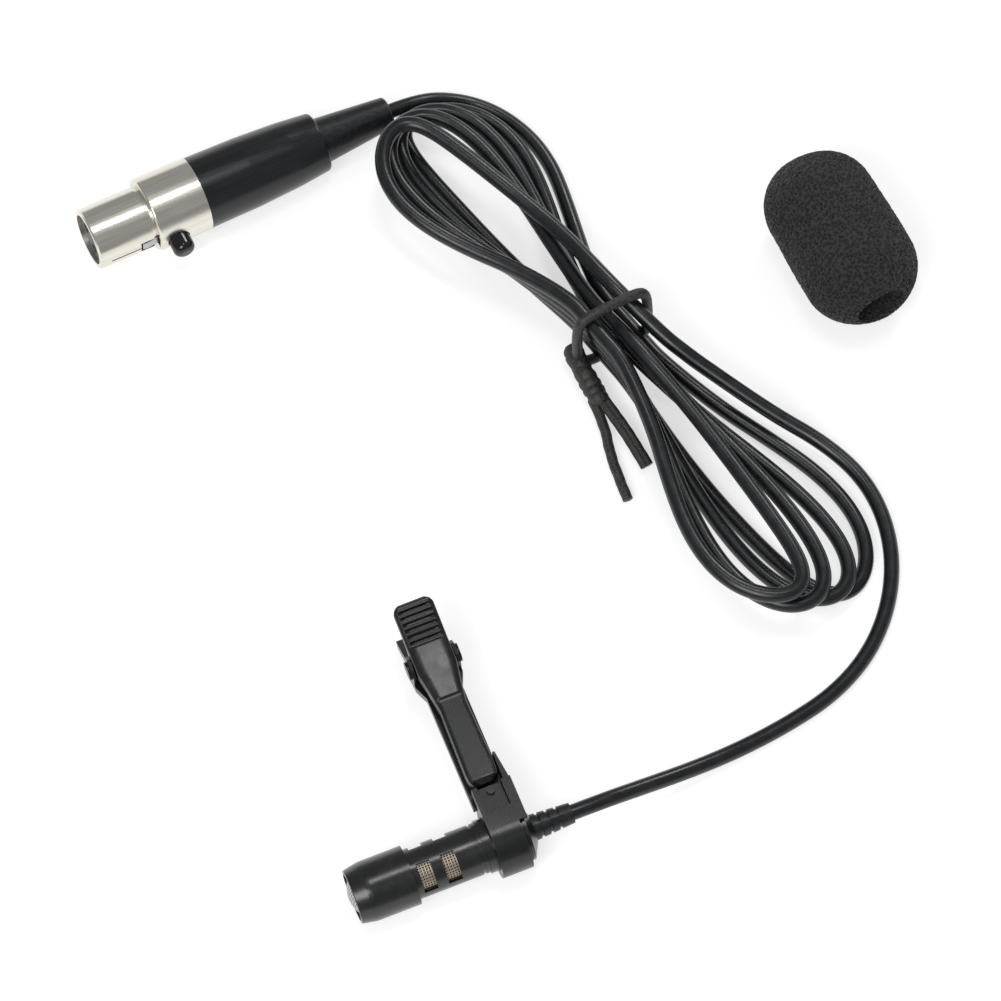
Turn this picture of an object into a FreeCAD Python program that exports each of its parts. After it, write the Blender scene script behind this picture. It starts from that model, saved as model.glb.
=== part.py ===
import FreeCAD, Part
import Sketcher
import math
import os
import re

# Lavalier microphone: a head in the ring of a sprung clip, a thin cord tied in a hank,
# a three-contact miniature plug, and a foam windscreen that lies beside them.
# Millimetres, +Z up, the floor at Z = 0. Each unit is modelled along its own X axis,
# with its front towards -X, and then placed.

doc = FreeCAD.newDocument("LavalierMicrophone")
sheet = doc.addObject("Spreadsheet::Sheet", "Sizes")
sheet.Label = "Sizes"

SIZES = [
    # where the units lie
    ("head_x", -31.51), ("head_y", -37.1),
    ("plug_x", -52.9), ("plug_y", 68.4), ("plug_yaw", 5.2), ("plug_roll", 92),
    ("foam_x", 45.15), ("foam_y", 28.6), ("foam_yaw", -84.6),
    # fits
    ("seat_gap", 0.03), ("running_gap", 0.1), ("jaw_gap", 0.3),
    # head, measured from the middle of the ring
    ("cap_front", 22.1), ("cap_length", 8.4), ("cap_radius", 4.2), ("cap_rim_radius", 3.8),
    ("cap_taper", 2.2), ("cap_shoulder", 4.0), ("cap_edge", 0.2), ("cap_rim_depth", 1.0),
    ("mouth_radius", 3.3),
    ("grille_thick", 0.25), ("grille_bulge", 1.5), ("grille_flange", 0.25),
    ("body_radius", 3.55), ("body_wall", 0.4), ("body_rear", 2.5), ("collar_radius", 3.75),
    ("collar_length", 5.9), ("groove_width", 0.4), ("groove_depth", 0.18), ("groove_step", 0.6),
    ("slot_first", 11.9), ("slot_pitch", 3.5), ("slot_length", 1.95), ("slot_angle", 74),
    ("slot_count", 3), ("slot_turn", 40), ("mesh_thick", 0.15), ("mesh_margin", 1.0),
    ("can_radius", 2.75), ("can_wall", 0.2), ("can_length", 6.0), ("can_hole_radius", 0.35),
    ("can_hole_ring", 1.4), ("can_hole_count", 6), ("can_gap", 0.2),
    ("film_radius", 2.5), ("film_thick", 0.2), ("plate_thick", 0.7), ("plate_hole_radius", 0.3),
    ("plate_hole_ring", 1.3), ("film_gap", 0.3), ("board_thick", 0.6), ("gasket_length", 1.6),
    ("lead_radius", 0.22), ("lead_ring", 0.8),
    ("crimp_radius", 2.2), ("crimp_length", 1.4),
    ("bush_depth", 3.9), ("bush_flange_radius", 4.1), ("bush_flange", 0.4), ("bush_cone", 1.0),
    ("bush_wall", 0.3), ("bush_bore", 1.6),
    ("relief_radius", 1.85), ("relief_end_radius", 1.45), ("relief_length", 5.7),
    ("relief_grooves", 3), ("relief_first", 0.8), ("relief_groove", 0.45),
    ("relief_groove_depth", 0.25), ("relief_pitch", 1.35),
    # ring and clip, measured from the head's axis
    ("ring_width", 4.4), ("ring_wall", 1.1), ("block_length", 6.4), ("block_overhang", 1.2),
    ("block_bottom", 1.9), ("recess_depth", 1.0), ("recess_start", 2.6),
    ("recess_width", 3.4), ("recess_shift", 0.3), ("guard_length", 4.2), ("guard_width", 0.85),
    ("guard_end_width", 0.35), ("guard_top", 4.4),
    ("rivet_y", 5.6), ("rivet_x", 0.3), ("rivet_radius", 0.4), ("rivet_head_radius", 0.6),
    ("rivet_head", 0.55), ("rivet_foot", 0.4),
    ("pivot_y", 26.2), ("pivot_z", 3.6), ("pin_radius", 0.65), ("pin_head_radius", 1.3),
    ("pin_head", 0.35), ("ear_thick", 0.45), ("ear_radius", 1.7), ("ear_drop", 0.6),
    ("base_thick", 1.6), ("base_arm_half", 2.6), ("base_knee", 24.2), ("base_tail_y", 33.4),
    ("base_tail_drop", 4.8), ("base_tail_thick", 1.3),
    ("lever_half", 2.9), ("lever_arm_half", 1.95), ("lever_tip_half", 2.15), ("lever_bevel", 0.6),
    ("lever_waist_y", 18.6), ("lever_pad_y", 21.8), ("lever_thumb_y", 28.0), ("lever_end_y", 34.0),
    ("lever_top", 5.25), ("lever_rise", 0.45), ("pad_rise", 1.35), ("thumb_rise", 2.7),
    ("lever_end_bevel", 0.3), ("cheek_thick", 0.7), ("cheek_radius", 1.25), ("lever_skin", 1.0),
    ("thumb_skin", 1.2), ("lever_shoulder", 1.6),
    ("rib_count", 6), ("rib_start", 0.3), ("rib_pitch", 0.86), ("rib_groove", 0.4), ("rib_depth", 0.3),
    ("rib_half", 2.3),
    ("tooth_count", 5), ("tooth_pitch", 1.0), ("tooth_size", 0.4), ("tooth_start", 9.0),
    ("spring_wire", 0.22), ("spring_turns", 5), ("spring_pitch", 0.55), ("spring_gap", 0.25),
    ("spring_leg", 4.2),
    # plug, measured from its front face
    ("barrel_radius", 4.5), ("barrel_length", 8.9), ("shell_radius", 5.45), ("shell_end", 16.9),
    ("shell_edge", 0.35), ("shell_wall", 0.85), ("barrel_edge", 0.2),
    ("neck_groove", 0.6), ("neck_groove_depth", 0.25),
    ("insert_radius", 3.7), ("insert_front", 0.5), ("insert_end", 12.0), ("contact_ring", 1.8),
    ("contact_count", 3), ("contact_hole_radius", 0.75), ("contact_wall", 0.2), ("contact_cup", 1.6),
    ("contact_recess", 0.5), ("key_width", 1.0), ("key_depth", 0.6), ("latch_flat", 2.75),
    ("window_start", 6.2), ("window_end", 10.25), ("window_half", 1.15), ("line_start", 1.6),
    ("line_half", 0.15),
    ("line_depth", 0.3),
    ("latch_front", 6.5), ("latch_hinge", 14.3), ("latch_half", 0.85), ("latch_low", 4.0),
    ("latch_thick", 0.3), ("hook_length", 0.8), ("hook_top", 4.4), ("latch_end", 0.15),
    ("latch_roll_radius", 0.2),
    ("button_x", 11.6), ("button_radius", 1.6), ("button_low", 5.0), ("button_top", 7.9),
    ("button_nub_radius", 0.3), ("button_edge", 1.0),
    ("thread_start", 14.7), ("thread_radius", 4.7), ("sleeve_end", 36.2), ("sleeve_radius", 5.35),
    ("sleeve_middle", 7.7), ("sleeve_middle_radius", 5.23), ("sleeve_knee", 14.5),
    ("sleeve_knee_radius", 4.85), ("sleeve_end_radius", 4.35), ("sleeve_bore", 3.9),
    ("sleeve_end_edge", 0.5), ("sleeve_neck", 3.2), ("sleeve_neck_radius", 2.45),
    ("sleeve_seat_radius", 3.5), ("sleeve_seat", 3.0),
    ("boot_end", 47.2), ("boot_radius", 3.35), ("boot_end_radius", 2.3), ("boot_flange", 1.8),
    ("boot_edge", 0.5),
    ("clamp_start", 25.0), ("clamp_length", 4.0), ("clamp_radius", 2.5), ("clamp_arm_y", 2.9),
    ("clamp_arm_width", 1.6), ("clamp_arm_thick", 0.5), ("clamp_slit", 0.6),
    ("wire_radius", 0.4), ("wire_ring_rear", 0.55), ("inner_cord_start", 22.5), ("inner_cord_end", 46.0),
    # cord and tie
    ("cord_radius", 1.1), ("bore_gap", 0.1), ("strand_gap", 0.55), ("floor_gap", 0.05),
    ("mic_cord_end", 8.0), ("mic_cord_turn", 14.0), ("plug_cord_turn", 51.5),
    ("lead_in_first", 12.0), ("lead_in_last", 9.0), ("lead_in_out", 6.3), ("lead_in_near", 5.3),
    ("tie_radius", 0.75), ("wrap_radius", 1.55),
    # hank: its waist, and for each turn the reach, width, swing and skew of its two lobes
    ("hank_x", 9.2), ("hank_y", 27.0), ("hank_heading", -73.5), ("hank_turns", 4), ("waist_half", 6.0),
    ("waist_column", 1.4), ("waist_lean", 0.4), ("waist_outer", 4.8), ("waist_top", 4.0),
    ("waist_lift", 1.8), ("waist_fade", 15.0), ("far_lift", 2.7),
    ("near_reach_1", 43.5), ("near_reach_2", 43.5), ("near_reach_3", 43.0), ("near_reach_4", 41.5),
    ("near_width_1", 19.5), ("near_width_2", 18.0), ("near_width_3", 18.5), ("near_width_4", 16.5),
    ("near_swing_1", 6), ("near_swing_2", 2), ("near_swing_3", -4), ("near_swing_4", -7),
    ("near_skew_1", 0.3), ("near_skew_2", -0.05), ("near_skew_3", -0.2), ("near_skew_4", -0.5),
    ("far_reach_1", 39.5), ("far_reach_2", 38.5), ("far_reach_3", 37.5), ("far_reach_4", 36.5),
    ("far_width_1", 19.5), ("far_width_2", 19.5), ("far_width_3", 19.0), ("far_width_4", 17.0),
    ("far_swing_1", -1.5), ("far_swing_2", 0), ("far_swing_3", 4), ("far_swing_4", 8),
    ("far_skew_1", -0.5), ("far_skew_2", -0.1), ("far_skew_3", 0.1), ("far_skew_4", 0.45),
    # windscreen
    ("foam_radius", 8.4), ("foam_length", 26.0), ("foam_round", 7.2), ("foam_hole_radius", 3.4),
    ("foam_hole_depth", 20.0), ("foam_hole_edge", 0.6),
]
for row, (word, number) in enumerate(SIZES, 1):
    sheet.set("A%d" % row, word)
    sheet.set("B%d" % row, str(number))
    sheet.setAlias("B%d" % row, word)
doc.recompute()


def size(word):
    return float(getattr(sheet, word))


def cells(text):
    """An expression in size names, with each name turned into its cell in the sheet."""
    return re.sub(r"\b[a-z][a-z_]*\b(?!\()", lambda found: "Sizes." + found.group(0), text)


def bind(item, prop, text):
    item.setExpression(prop, cells(text))


def new_body(label):
    body = doc.addObject("PartDesign::Body", label)
    body.Label = label
    return body


def origin(body, role):
    return [item for item in body.Origin.OriginFeatures if item.Role == role][0]


def new_sketch(body, name, role, offset=None):
    sketch = body.newObject("Sketcher::SketchObject", body.Label + "_" + name)
    sketch.AttachmentSupport = [(origin(body, role), "")]
    sketch.MapMode = "FlatFace"
    if offset:
        bind(sketch, ".AttachmentOffset.Base.z", offset)
    return sketch


def pin_point(sketch, line, end, across, up):
    """Holds one end of a line at two expressions measured from the sketch's origin."""
    for kind, text in (("DistanceX", across), ("DistanceY", up)):
        index = sketch.addConstraint(Sketcher.Constraint(kind, -1, 1, line, end, 1.0))
        bind(sketch, "Constraints[%d]" % index, text)


def polygon(sketch, points):
    """A closed outline through points that are pairs of expressions."""
    first = sketch.GeometryCount
    count = len(points)
    corners = [FreeCAD.Vector(math.cos(2 * math.pi * i / count), math.sin(2 * math.pi * i / count), 0)
               for i in range(count)]
    for i in range(count):
        sketch.addGeometry(Part.LineSegment(corners[i], corners[(i + 1) % count]))
    for i in range(count):
        sketch.addConstraint(Sketcher.Constraint("Coincident", first + i, 2, first + (i + 1) % count, 1))
    for i, (across, up) in enumerate(points):
        pin_point(sketch, first + i, 1, across, up)


def circle(sketch, across, up, radius):
    index = sketch.addGeometry(Part.Circle(FreeCAD.Vector(0, 0, 0), FreeCAD.Vector(0, 0, 1), 1.0))
    pin_point(sketch, index, 3, across, up)
    bound = sketch.addConstraint(Sketcher.Constraint("Radius", index, 1.0))
    bind(sketch, "Constraints[%d]" % bound, radius)


def turn(body, name, points, axis="X_Axis", role="XY_Plane", kind="Revolution"):
    """A ring of the profile about the unit's axis, added as a Revolution or cut as a Groove."""
    sketch = new_sketch(body, name + "_profile", role)
    polygon(sketch, points)
    feature = body.newObject("PartDesign::" + kind, body.Label + "_" + name)
    feature.Profile = (sketch, [""])
    feature.ReferenceAxis = (origin(body, axis), [""])
    feature.Angle = 360
    return feature


def pad(body, name, sketch, length, both=False, back=None, kind="Pad", flip=False):
    """A Pad or a Pocket along the sketch's normal: to one side, to both alike, or to each."""
    feature = body.newObject("PartDesign::" + kind, body.Label + "_" + name)
    feature.Profile = (sketch, [""])
    bind(feature, "Length", length)
    if both:
        feature.SideType = "Symmetric"
    if back:
        feature.SideType = "Two sides"
        bind(feature, "Length2", back)
    feature.Reversed = flip
    return feature


def polar(body, name, originals, count, axis="X_Axis"):
    pattern = body.newObject("PartDesign::PolarPattern", body.Label + "_" + name)
    pattern.Originals = originals
    pattern.Axis = (origin(body, axis), [""])
    pattern.Angle = 360
    bind(pattern, "Occurrences", count)
    body.Tip = pattern
    return pattern


def fillet(body, name, base, chosen, radius):
    """Rounds the edges of a feature for which chosen(edge) is true."""
    doc.recompute()
    names = ["Edge%d" % i for i, edge in enumerate(base.Shape.Edges, 1) if chosen(edge)]
    feature = body.newObject("PartDesign::Fillet", body.Label + "_" + name)
    feature.Base = (base, names)
    bind(feature, "Radius", radius)
    return feature


def ring_edge(x, radius):
    """Tells whether an edge is the circle about the X axis at x with this radius."""
    def chosen(edge):
        curve = edge.Curve
        return (isinstance(curve, Part.Circle) and abs(curve.Center.x - x) < 0.01
                and abs(curve.Radius - radius) < 0.01)
    return chosen


# Placements: each unit lies on the floor and is tilted until it rests on two rings: the head
# on its holder and the shoulder of its cap, the plug on its shell and the middle of its sleeve
ring_outer = size("collar_radius") + size("running_gap") + size("ring_wall")
head_tilt = math.atan2(ring_outer - size("cap_radius"),
                       size("cap_front") - size("cap_taper") - size("ring_width") / 2)
head_z = ring_outer * math.cos(head_tilt) + size("ring_width") / 2 * math.sin(head_tilt)
HEAD = FreeCAD.Placement(FreeCAD.Vector(size("head_x"), size("head_y"), head_z),
                         FreeCAD.Rotation(0, -math.degrees(head_tilt), 0))
plug_tilt = math.atan2(size("shell_radius") - size("sleeve_middle_radius"), size("sleeve_middle"))
plug_z = size("shell_radius") * math.cos(plug_tilt) + size("shell_end") * math.sin(plug_tilt)
PLUG = FreeCAD.Placement(FreeCAD.Vector(size("plug_x"), size("plug_y"), plug_z),
                         FreeCAD.Rotation(size("plug_yaw"), math.degrees(plug_tilt), size("plug_roll")))
FOAM = FreeCAD.Placement(FreeCAD.Vector(size("foam_x"), size("foam_y"), size("foam_radius")),
                         FreeCAD.Rotation(size("foam_yaw"), 0, 0))


def shifted(unit, x=0.0, y=0.0, z=0.0, roll=0.0):
    return unit.multiply(FreeCAD.Placement(FreeCAD.Vector(x, y, z), FreeCAD.Rotation(0, 0, roll)))


# Nose cap: a turned black cap that slides over the front of the body
cap = new_body("nose_cap")
cap_turned = turn(cap, "cap", [
    ("-cap_front", "mouth_radius"), ("-cap_front", "cap_rim_radius"),
    ("cap_taper - cap_front", "cap_radius"), ("cap_length - cap_front", "cap_radius"),
    ("cap_length - cap_front", "body_radius + seat_gap"),
    ("cap_rim_depth - cap_front", "body_radius + seat_gap"),
    ("cap_rim_depth - cap_front", "mouth_radius")])
cap_shoulder = fillet(cap, "shoulder", cap_turned,
                      ring_edge(size("cap_taper") - size("cap_front"), size("cap_radius")),
                      "cap_shoulder")
fillet(cap, "rim", cap_shoulder, ring_edge(-size("cap_front"), size("cap_rim_radius")), "cap_edge")
cap.Placement = HEAD

# Front grille: a domed mesh disc behind the cap's rim, modelled as its skin
sphere_radius = "((mouth_radius - running_gap)^2 + grille_bulge^2) / (2 * grille_bulge)"
dome_outer = doc.addObject("Part::Sphere", "dome_outer")
dome_inner = doc.addObject("Part::Sphere", "dome_inner")
dome_reach = doc.addObject("Part::Cylinder", "dome_reach")
bind(dome_outer, "Radius", sphere_radius)
bind(dome_inner, "Radius", sphere_radius + " - grille_thick")
for ball in (dome_outer, dome_inner):
    bind(ball, ".Placement.Base.x", "cap_rim_depth - cap_front - grille_bulge + " + sphere_radius)
dome_reach.Placement = FreeCAD.Placement(FreeCAD.Vector(0, 0, 0), FreeCAD.Rotation(0, -90, 0))
bind(dome_reach, ".Placement.Base.x", "cap_rim_depth - cap_front + grille_flange")
bind(dome_reach, "Radius", "mouth_radius - running_gap")
bind(dome_reach, "Height", "cap_front")
dome_shell = doc.addObject("Part::Cut", "dome_shell")
dome_shell.Base = dome_outer
dome_shell.Tool = dome_inner
dome = doc.addObject("Part::Common", "dome")
dome.Base = dome_shell
dome.Tool = dome_reach
flange_disc = doc.addObject("Part::Cylinder", "flange_disc")
flange_hole = doc.addObject("Part::Cylinder", "flange_hole")
for disc, radius in ((flange_disc, "body_radius"),
    (flange_hole, "mouth_radius - running_gap - grille_thick")):
    disc.Placement = FreeCAD.Placement(FreeCAD.Vector(0, 0, 0), FreeCAD.Rotation(0, 90, 0))
    bind(disc, ".Placement.Base.x", "cap_rim_depth - cap_front")
    bind(disc, "Radius", radius)
    bind(disc, "Height", "grille_flange")
flange = doc.addObject("Part::Cut", "flange")
flange.Base = flange_disc
flange.Tool = flange_hole
grille = doc.addObject("Part::Fuse", "front_grille")
grille.Label = "front_grille"
grille.Base = dome
grille.Tool = flange
grille.Placement = HEAD

# Body: a black tube with a collar for the ring and two rows of slots
body_front = "cap_rim_depth + grille_flange - cap_front"
tube = new_body("mic_body")
turn(tube, "tube", [
    (body_front, "body_radius - body_wall"), (body_front, "body_radius"),
    ("body_rear - collar_length - groove_step - groove_width", "body_radius"),
    ("body_rear - collar_length - groove_step - groove_width", "body_radius - groove_depth"),
    ("body_rear - collar_length - groove_step", "body_radius - groove_depth"),
    ("body_rear - collar_length - groove_step", "body_radius"),
    ("body_rear - collar_length", "body_radius"), ("body_rear - collar_length", "collar_radius"),
    ("body_rear", "collar_radius"), ("body_rear", "body_radius - body_wall - bush_wall"),
    ("body_rear - bush_depth", "body_radius - body_wall - bush_wall"),
    ("body_rear - bush_depth", "body_radius - body_wall")])
slots = new_sketch(tube, "slot_outline", "XY_Plane")
for middle in ("slot_first", "(slot_first - slot_pitch)"):
    polygon(slots, [
        ("-%s - slot_length / 2" % middle, "-body_radius * sin(slot_angle / 2)"),
        ("-%s + slot_length / 2" % middle, "-body_radius * sin(slot_angle / 2)"),
        ("-%s + slot_length / 2" % middle, "body_radius * sin(slot_angle / 2)"),
        ("-%s - slot_length / 2" % middle, "body_radius * sin(slot_angle / 2)")])
slot_cut = pad(tube, "slot", slots, "body_radius + 1", kind="Pocket", flip=True)
polar(tube, "slots", [slot_cut], "slot_count")
tube.Placement = shifted(HEAD, roll=size("slot_turn"))

# Mesh behind the slots: a thin sleeve that lines the body
mesh = new_body("side_mesh")
mesh_front = "-slot_first - slot_length / 2 - mesh_margin"
mesh_rear = "-slot_first + slot_pitch + slot_length / 2 + mesh_margin"
turn(mesh, "sleeve", [
    (mesh_front, "body_radius - body_wall - seat_gap - mesh_thick"),
    (mesh_front, "body_radius - body_wall - seat_gap"),
    (mesh_rear, "body_radius - body_wall - seat_gap"),
    (mesh_rear, "body_radius - body_wall - seat_gap - mesh_thick")])
mesh.Placement = HEAD

# Capsule: a can with front holes, and in it the film, the plate and the board
can_front = "(" + body_front + " + can_gap)"
can = new_body("capsule_can")
turn(can, "cup", [
    (can_front, "0"), (can_front, "can_radius"), (can_front + " + can_length", "can_radius"),
    (can_front + " + can_length", "can_radius - can_wall"),
    (can_front + " + can_wall", "can_radius - can_wall"),
    (can_front + " + can_wall", "0")])
can_hole = new_sketch(can, "hole_outline", "YZ_Plane")
circle(can_hole, "0", "can_hole_ring", "can_hole_radius")
can_cut = pad(can, "hole", can_hole, "2 * (cap_front - cap_rim_depth)", kind="Pocket")
polar(can, "holes", [can_cut], "can_hole_count")
can.Placement = HEAD

film = new_body("capsule_diaphragm")
film_front = can_front + " + can_wall"
turn(film, "film", [
    (film_front, "0"), (film_front, "film_radius"), (film_front + " + film_thick", "film_radius"),
    (film_front + " + film_thick", "0")])
film.Placement = HEAD

plate = new_body("capsule_backplate")
plate_front = film_front + " + film_thick + film_gap"
turn(plate, "plate", [
    (plate_front, "0"), (plate_front, "film_radius"), (plate_front + " + plate_thick", "film_radius"),
    (plate_front + " + plate_thick", "0")])
plate_hole = new_sketch(plate, "hole_outline", "YZ_Plane")
circle(plate_hole, "0", "plate_hole_ring", "plate_hole_radius")
plate_cut = pad(plate, "hole", plate_hole, "2 * (cap_front - cap_rim_depth)", kind="Pocket")
polar(plate, "holes", [plate_cut], "can_hole_count")
plate.Placement = HEAD

board = new_body("capsule_board")
board_rear = can_front + " + can_length"
turn(board, "disc", [
    (board_rear + " - board_thick", "0"),
    (board_rear + " - board_thick", "can_radius - can_wall - seat_gap"),
    (board_rear, "can_radius - can_wall - seat_gap"), (board_rear, "0")])
board.Placement = HEAD

gasket = new_body("capsule_gasket")
gasket_front = can_front + " + can_length / 4"
turn(gasket, "ring", [
    (gasket_front, "can_radius + seat_gap"), (gasket_front, "body_radius - body_wall - seat_gap"),
    (gasket_front + " + gasket_length", "body_radius - body_wall - seat_gap"),
    (gasket_front + " + gasket_length", "can_radius + seat_gap")])
gasket.Placement = HEAD

# Tail of the head: a bush screwed into the tube, a crimp on the cord and the leads to the board
bush = new_body("tail_bush")
bush_radius = "body_radius - body_wall - bush_wall - seat_gap"
turn(bush, "bush", [
    ("body_rear - bush_depth", "bush_bore"), ("body_rear - bush_depth", bush_radius),
    ("body_rear", bush_radius), ("body_rear", "bush_flange_radius"),
    ("body_rear + bush_flange", "bush_flange_radius"),
    ("body_rear + bush_flange + bush_cone", "relief_radius + bush_wall"),
    ("body_rear + bush_flange + bush_cone", "bush_bore")])
bush.Placement = HEAD

crimp = new_body("mic_cable_crimp")
crimp_rear = "body_rear - bush_depth"
turn(crimp, "crimp", [
    (crimp_rear + " - crimp_length", "0"), (crimp_rear + " - crimp_length", "crimp_radius"),
    (crimp_rear, "crimp_radius"), (crimp_rear, "0")])
crimp.Placement = HEAD

mic_cord = new_body("mic_cable_end")
turn(mic_cord, "cord", [(crimp_rear, "0"), (crimp_rear, "cord_radius"), ("mic_cord_end", "cord_radius"),
                        ("mic_cord_end", "0")])
mic_cord.Placement = HEAD

leads = new_body("capsule_leads")
lead_circle = new_sketch(leads, "lead_outline", "YZ_Plane", board_rear)
circle(lead_circle, "0", "lead_ring", "lead_radius")
lead = pad(leads, "lead", lead_circle, crimp_rear + " - crimp_length - (" + board_rear + ")")
polar(leads, "leads", [lead], "contact_count")
leads.Placement = HEAD

# Strain relief of the head: a tapered rubber sleeve with grooves, its shank in the bush
relief = new_body("mic_strain_relief")
seat = "body_rear + bush_flange + bush_cone"
slope = "(relief_radius - relief_end_radius) / relief_length"
relief_points = [
    ("0", "cord_radius + bore_gap"), ("0", "bush_bore - seat_gap"), (seat, "bush_bore - seat_gap"),
    (seat, "relief_radius")]
for i in range(int(size("relief_grooves"))):
    for edge, depth in ((0, 0), (0, 1), (1, 1), (1, 0)):
        along = "(relief_first + relief_pitch * %d + relief_groove * %d)" % (i, edge)
        relief_points.append((seat + " + " + along,
                              "relief_radius - %s * %s - relief_groove_depth * %d" % (slope, along,
                              depth)))
relief_points += [(seat + " + relief_length", "relief_end_radius"),
                  (seat + " + relief_length", "cord_radius + bore_gap")]
turn(relief, "sleeve", relief_points)
relief.Placement = HEAD

# Ring holder: a ring round the collar and a block with a recess, on which the clip is riveted
holder = new_body("ring_holder")
ring_bore = "(collar_radius + running_gap)"
ring_top = "(collar_radius + running_gap + ring_wall)"
ring_circle = new_sketch(holder, "ring_outline", "YZ_Plane")
circle(ring_circle, "0", "0", ring_top)
pad(holder, "ring", ring_circle, "ring_width", both=True)
block = new_sketch(holder, "block_outline", "YZ_Plane")
polygon(block, [("0", "block_bottom"), ("block_length", "block_bottom"), ("block_length", ring_top),
                ("0", ring_top)])
pad(holder, "block", block, "ring_width / 2 + block_overhang", back="ring_width / 2")
bore_circle = new_sketch(holder, "bore_outline", "YZ_Plane")
circle(bore_circle, "0", "0", ring_bore)
pad(holder, "bore", bore_circle, "4 * ring_width", both=True, kind="Pocket")
relief_circle = new_sketch(holder, "flange_room_outline", "YZ_Plane", "body_rear - running_gap")
circle(relief_circle, "0", "0", "bush_flange_radius + 2 * running_gap")
pad(holder, "flange_room", relief_circle, "ring_width", kind="Pocket", flip=True)
recess = new_sketch(holder, "recess_outline", "XY_Plane", ring_top)
polygon(recess, [
    ("recess_shift - recess_width / 2", "recess_start"),
    ("recess_shift + recess_width / 2", "recess_start"),
    ("recess_shift + recess_width / 2", "block_length + 1"),
    ("recess_shift - recess_width / 2", "block_length + 1")])
pad(holder, "recess", recess, "recess_depth", kind="Pocket")
guard = new_sketch(holder, "guard_outline", "XY_Plane", "block_bottom")
guard_inside = "(lever_tip_half + jaw_gap)"
polygon(guard, [
    (guard_inside, "block_length - 1"), (guard_inside + " + guard_width", "block_length - 1"),
    (guard_inside + " + guard_width", "block_length"),
    (guard_inside + " + guard_end_width", "block_length + guard_length"),
    (guard_inside, "block_length + guard_length")])
pad(holder, "guard", guard, "guard_top - block_bottom")
rivet_hole = new_sketch(holder, "rivet_outline", "XY_Plane", ring_top)
circle(rivet_hole, "rivet_x", "rivet_y", "rivet_radius + seat_gap")
pad(holder, "rivet_hole", rivet_hole, "ring_wall * 4", kind="Pocket")
holder.Placement = HEAD

# Rivet: its head in the recess, its foot under the lower jaw
rivet = new_body("ring_rivet")
base_low = "(block_bottom - base_thick)"
recess_floor = ring_top + " - recess_depth"
turn(rivet, "rivet", [
    ("0", base_low + " - rivet_foot"), ("rivet_head_radius", base_low + " - rivet_foot"),
    ("rivet_head_radius", base_low), ("rivet_radius", base_low), ("rivet_radius", recess_floor),
    ("rivet_head_radius", recess_floor), ("rivet_head_radius", recess_floor + " + rivet_head"),
    ("0", recess_floor + " + rivet_head")], axis="Z_Axis", role="XZ_Plane")
rivet.Placement = shifted(HEAD, size("rivet_x"), size("rivet_y"))

# Lower jaw: a bent plate with teeth, two ears for the pin and a tail for the finger
base = new_body("clip_base")
base_side = new_sketch(base, "side_outline", "YZ_Plane")
polygon(base_side, [
    (ring_top, base_low), ("base_knee", base_low), ("base_tail_y", "-base_tail_drop"),
    ("base_tail_y + base_tail_thick / 3", "base_tail_thick - base_tail_drop"),
    ("base_knee + base_tail_thick", "block_bottom"), (ring_top, "block_bottom")])
ear_out = "(lever_half + running_gap + ear_thick)"
pad(base, "plate", base_side, "2 * " + ear_out, both=True)
base_plan = new_sketch(base, "plan_outline", "XY_Plane")
for side in ("", "-"):
    polygon(base_plan, [
        (side + "base_arm_half", "0"), (side + "2 * " + ear_out, "0"),
        (side + "2 * " + ear_out, "pivot_y - 2 * ear_radius"),
        (side + ear_out, "pivot_y - ear_radius * 1.2"),
        (side + "base_arm_half", "pivot_y - 2.4 * ear_radius")])
    polygon(base_plan, [
        (side + ear_out, "pivot_y + ear_radius"), (side + "2 * " + ear_out, "pivot_y + ear_radius"),
        (side + "2 * " + ear_out, "base_tail_y + base_tail_thick"),
        (side + "lever_half", "base_tail_y + base_tail_thick"),
        (side + "lever_half", "pivot_y + 1.5 * ear_radius")])
pad(base, "plan", base_plan, "4 * base_tail_drop", both=True, kind="Pocket")
for side, flipped in (("right", False), ("left", True)):
    start = "lever_half + running_gap"
    ear = new_sketch(base, side + "_ear_outline", "YZ_Plane",
        start if side == "right" else "-(" + start + ")")
    polygon(ear, [
        ("pivot_y - ear_radius", base_low), ("pivot_y + ear_radius", base_low + " - ear_drop"),
        ("pivot_y + ear_radius", "pivot_z + ear_radius / 2"),
        ("pivot_y + ear_radius / 2", "pivot_z + ear_radius"),
        ("pivot_y - ear_radius / 2", "pivot_z + ear_radius"),
        ("pivot_y - ear_radius", "pivot_z + ear_radius / 2")])
    pad(base, side + "_ear", ear, "ear_thick", flip=flipped)
teeth = new_sketch(base, "teeth_outline", "YZ_Plane")
for i in range(int(size("tooth_count"))):
    foot = "(tooth_start + tooth_pitch * %d)" % i
    polygon(teeth, [(foot, "block_bottom - tooth_size / 2"),
                    (foot + " + tooth_size * 1.5", "block_bottom - tooth_size / 2"),
                    (foot + " + tooth_size * 1.5", "block_bottom"),
                    (foot + " + tooth_size / 2", "block_bottom + tooth_size"), (foot, "block_bottom")])
pad(base, "teeth", teeth, "2 * lever_tip_half", both=True)
pin_hole = new_sketch(base, "pin_outline", "YZ_Plane")
circle(pin_hole, "pivot_y", "pivot_z", "pin_radius + seat_gap")
pad(base, "pin_hole", pin_hole, "4 * lever_half", both=True, kind="Pocket")
foot_hole = new_sketch(base, "rivet_outline", "XY_Plane", "block_bottom")
circle(foot_hole, "rivet_x", "rivet_y", "rivet_radius + seat_gap")
pad(base, "rivet_hole", foot_hole, "base_thick", kind="Pocket")
base.Placement = HEAD

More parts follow.
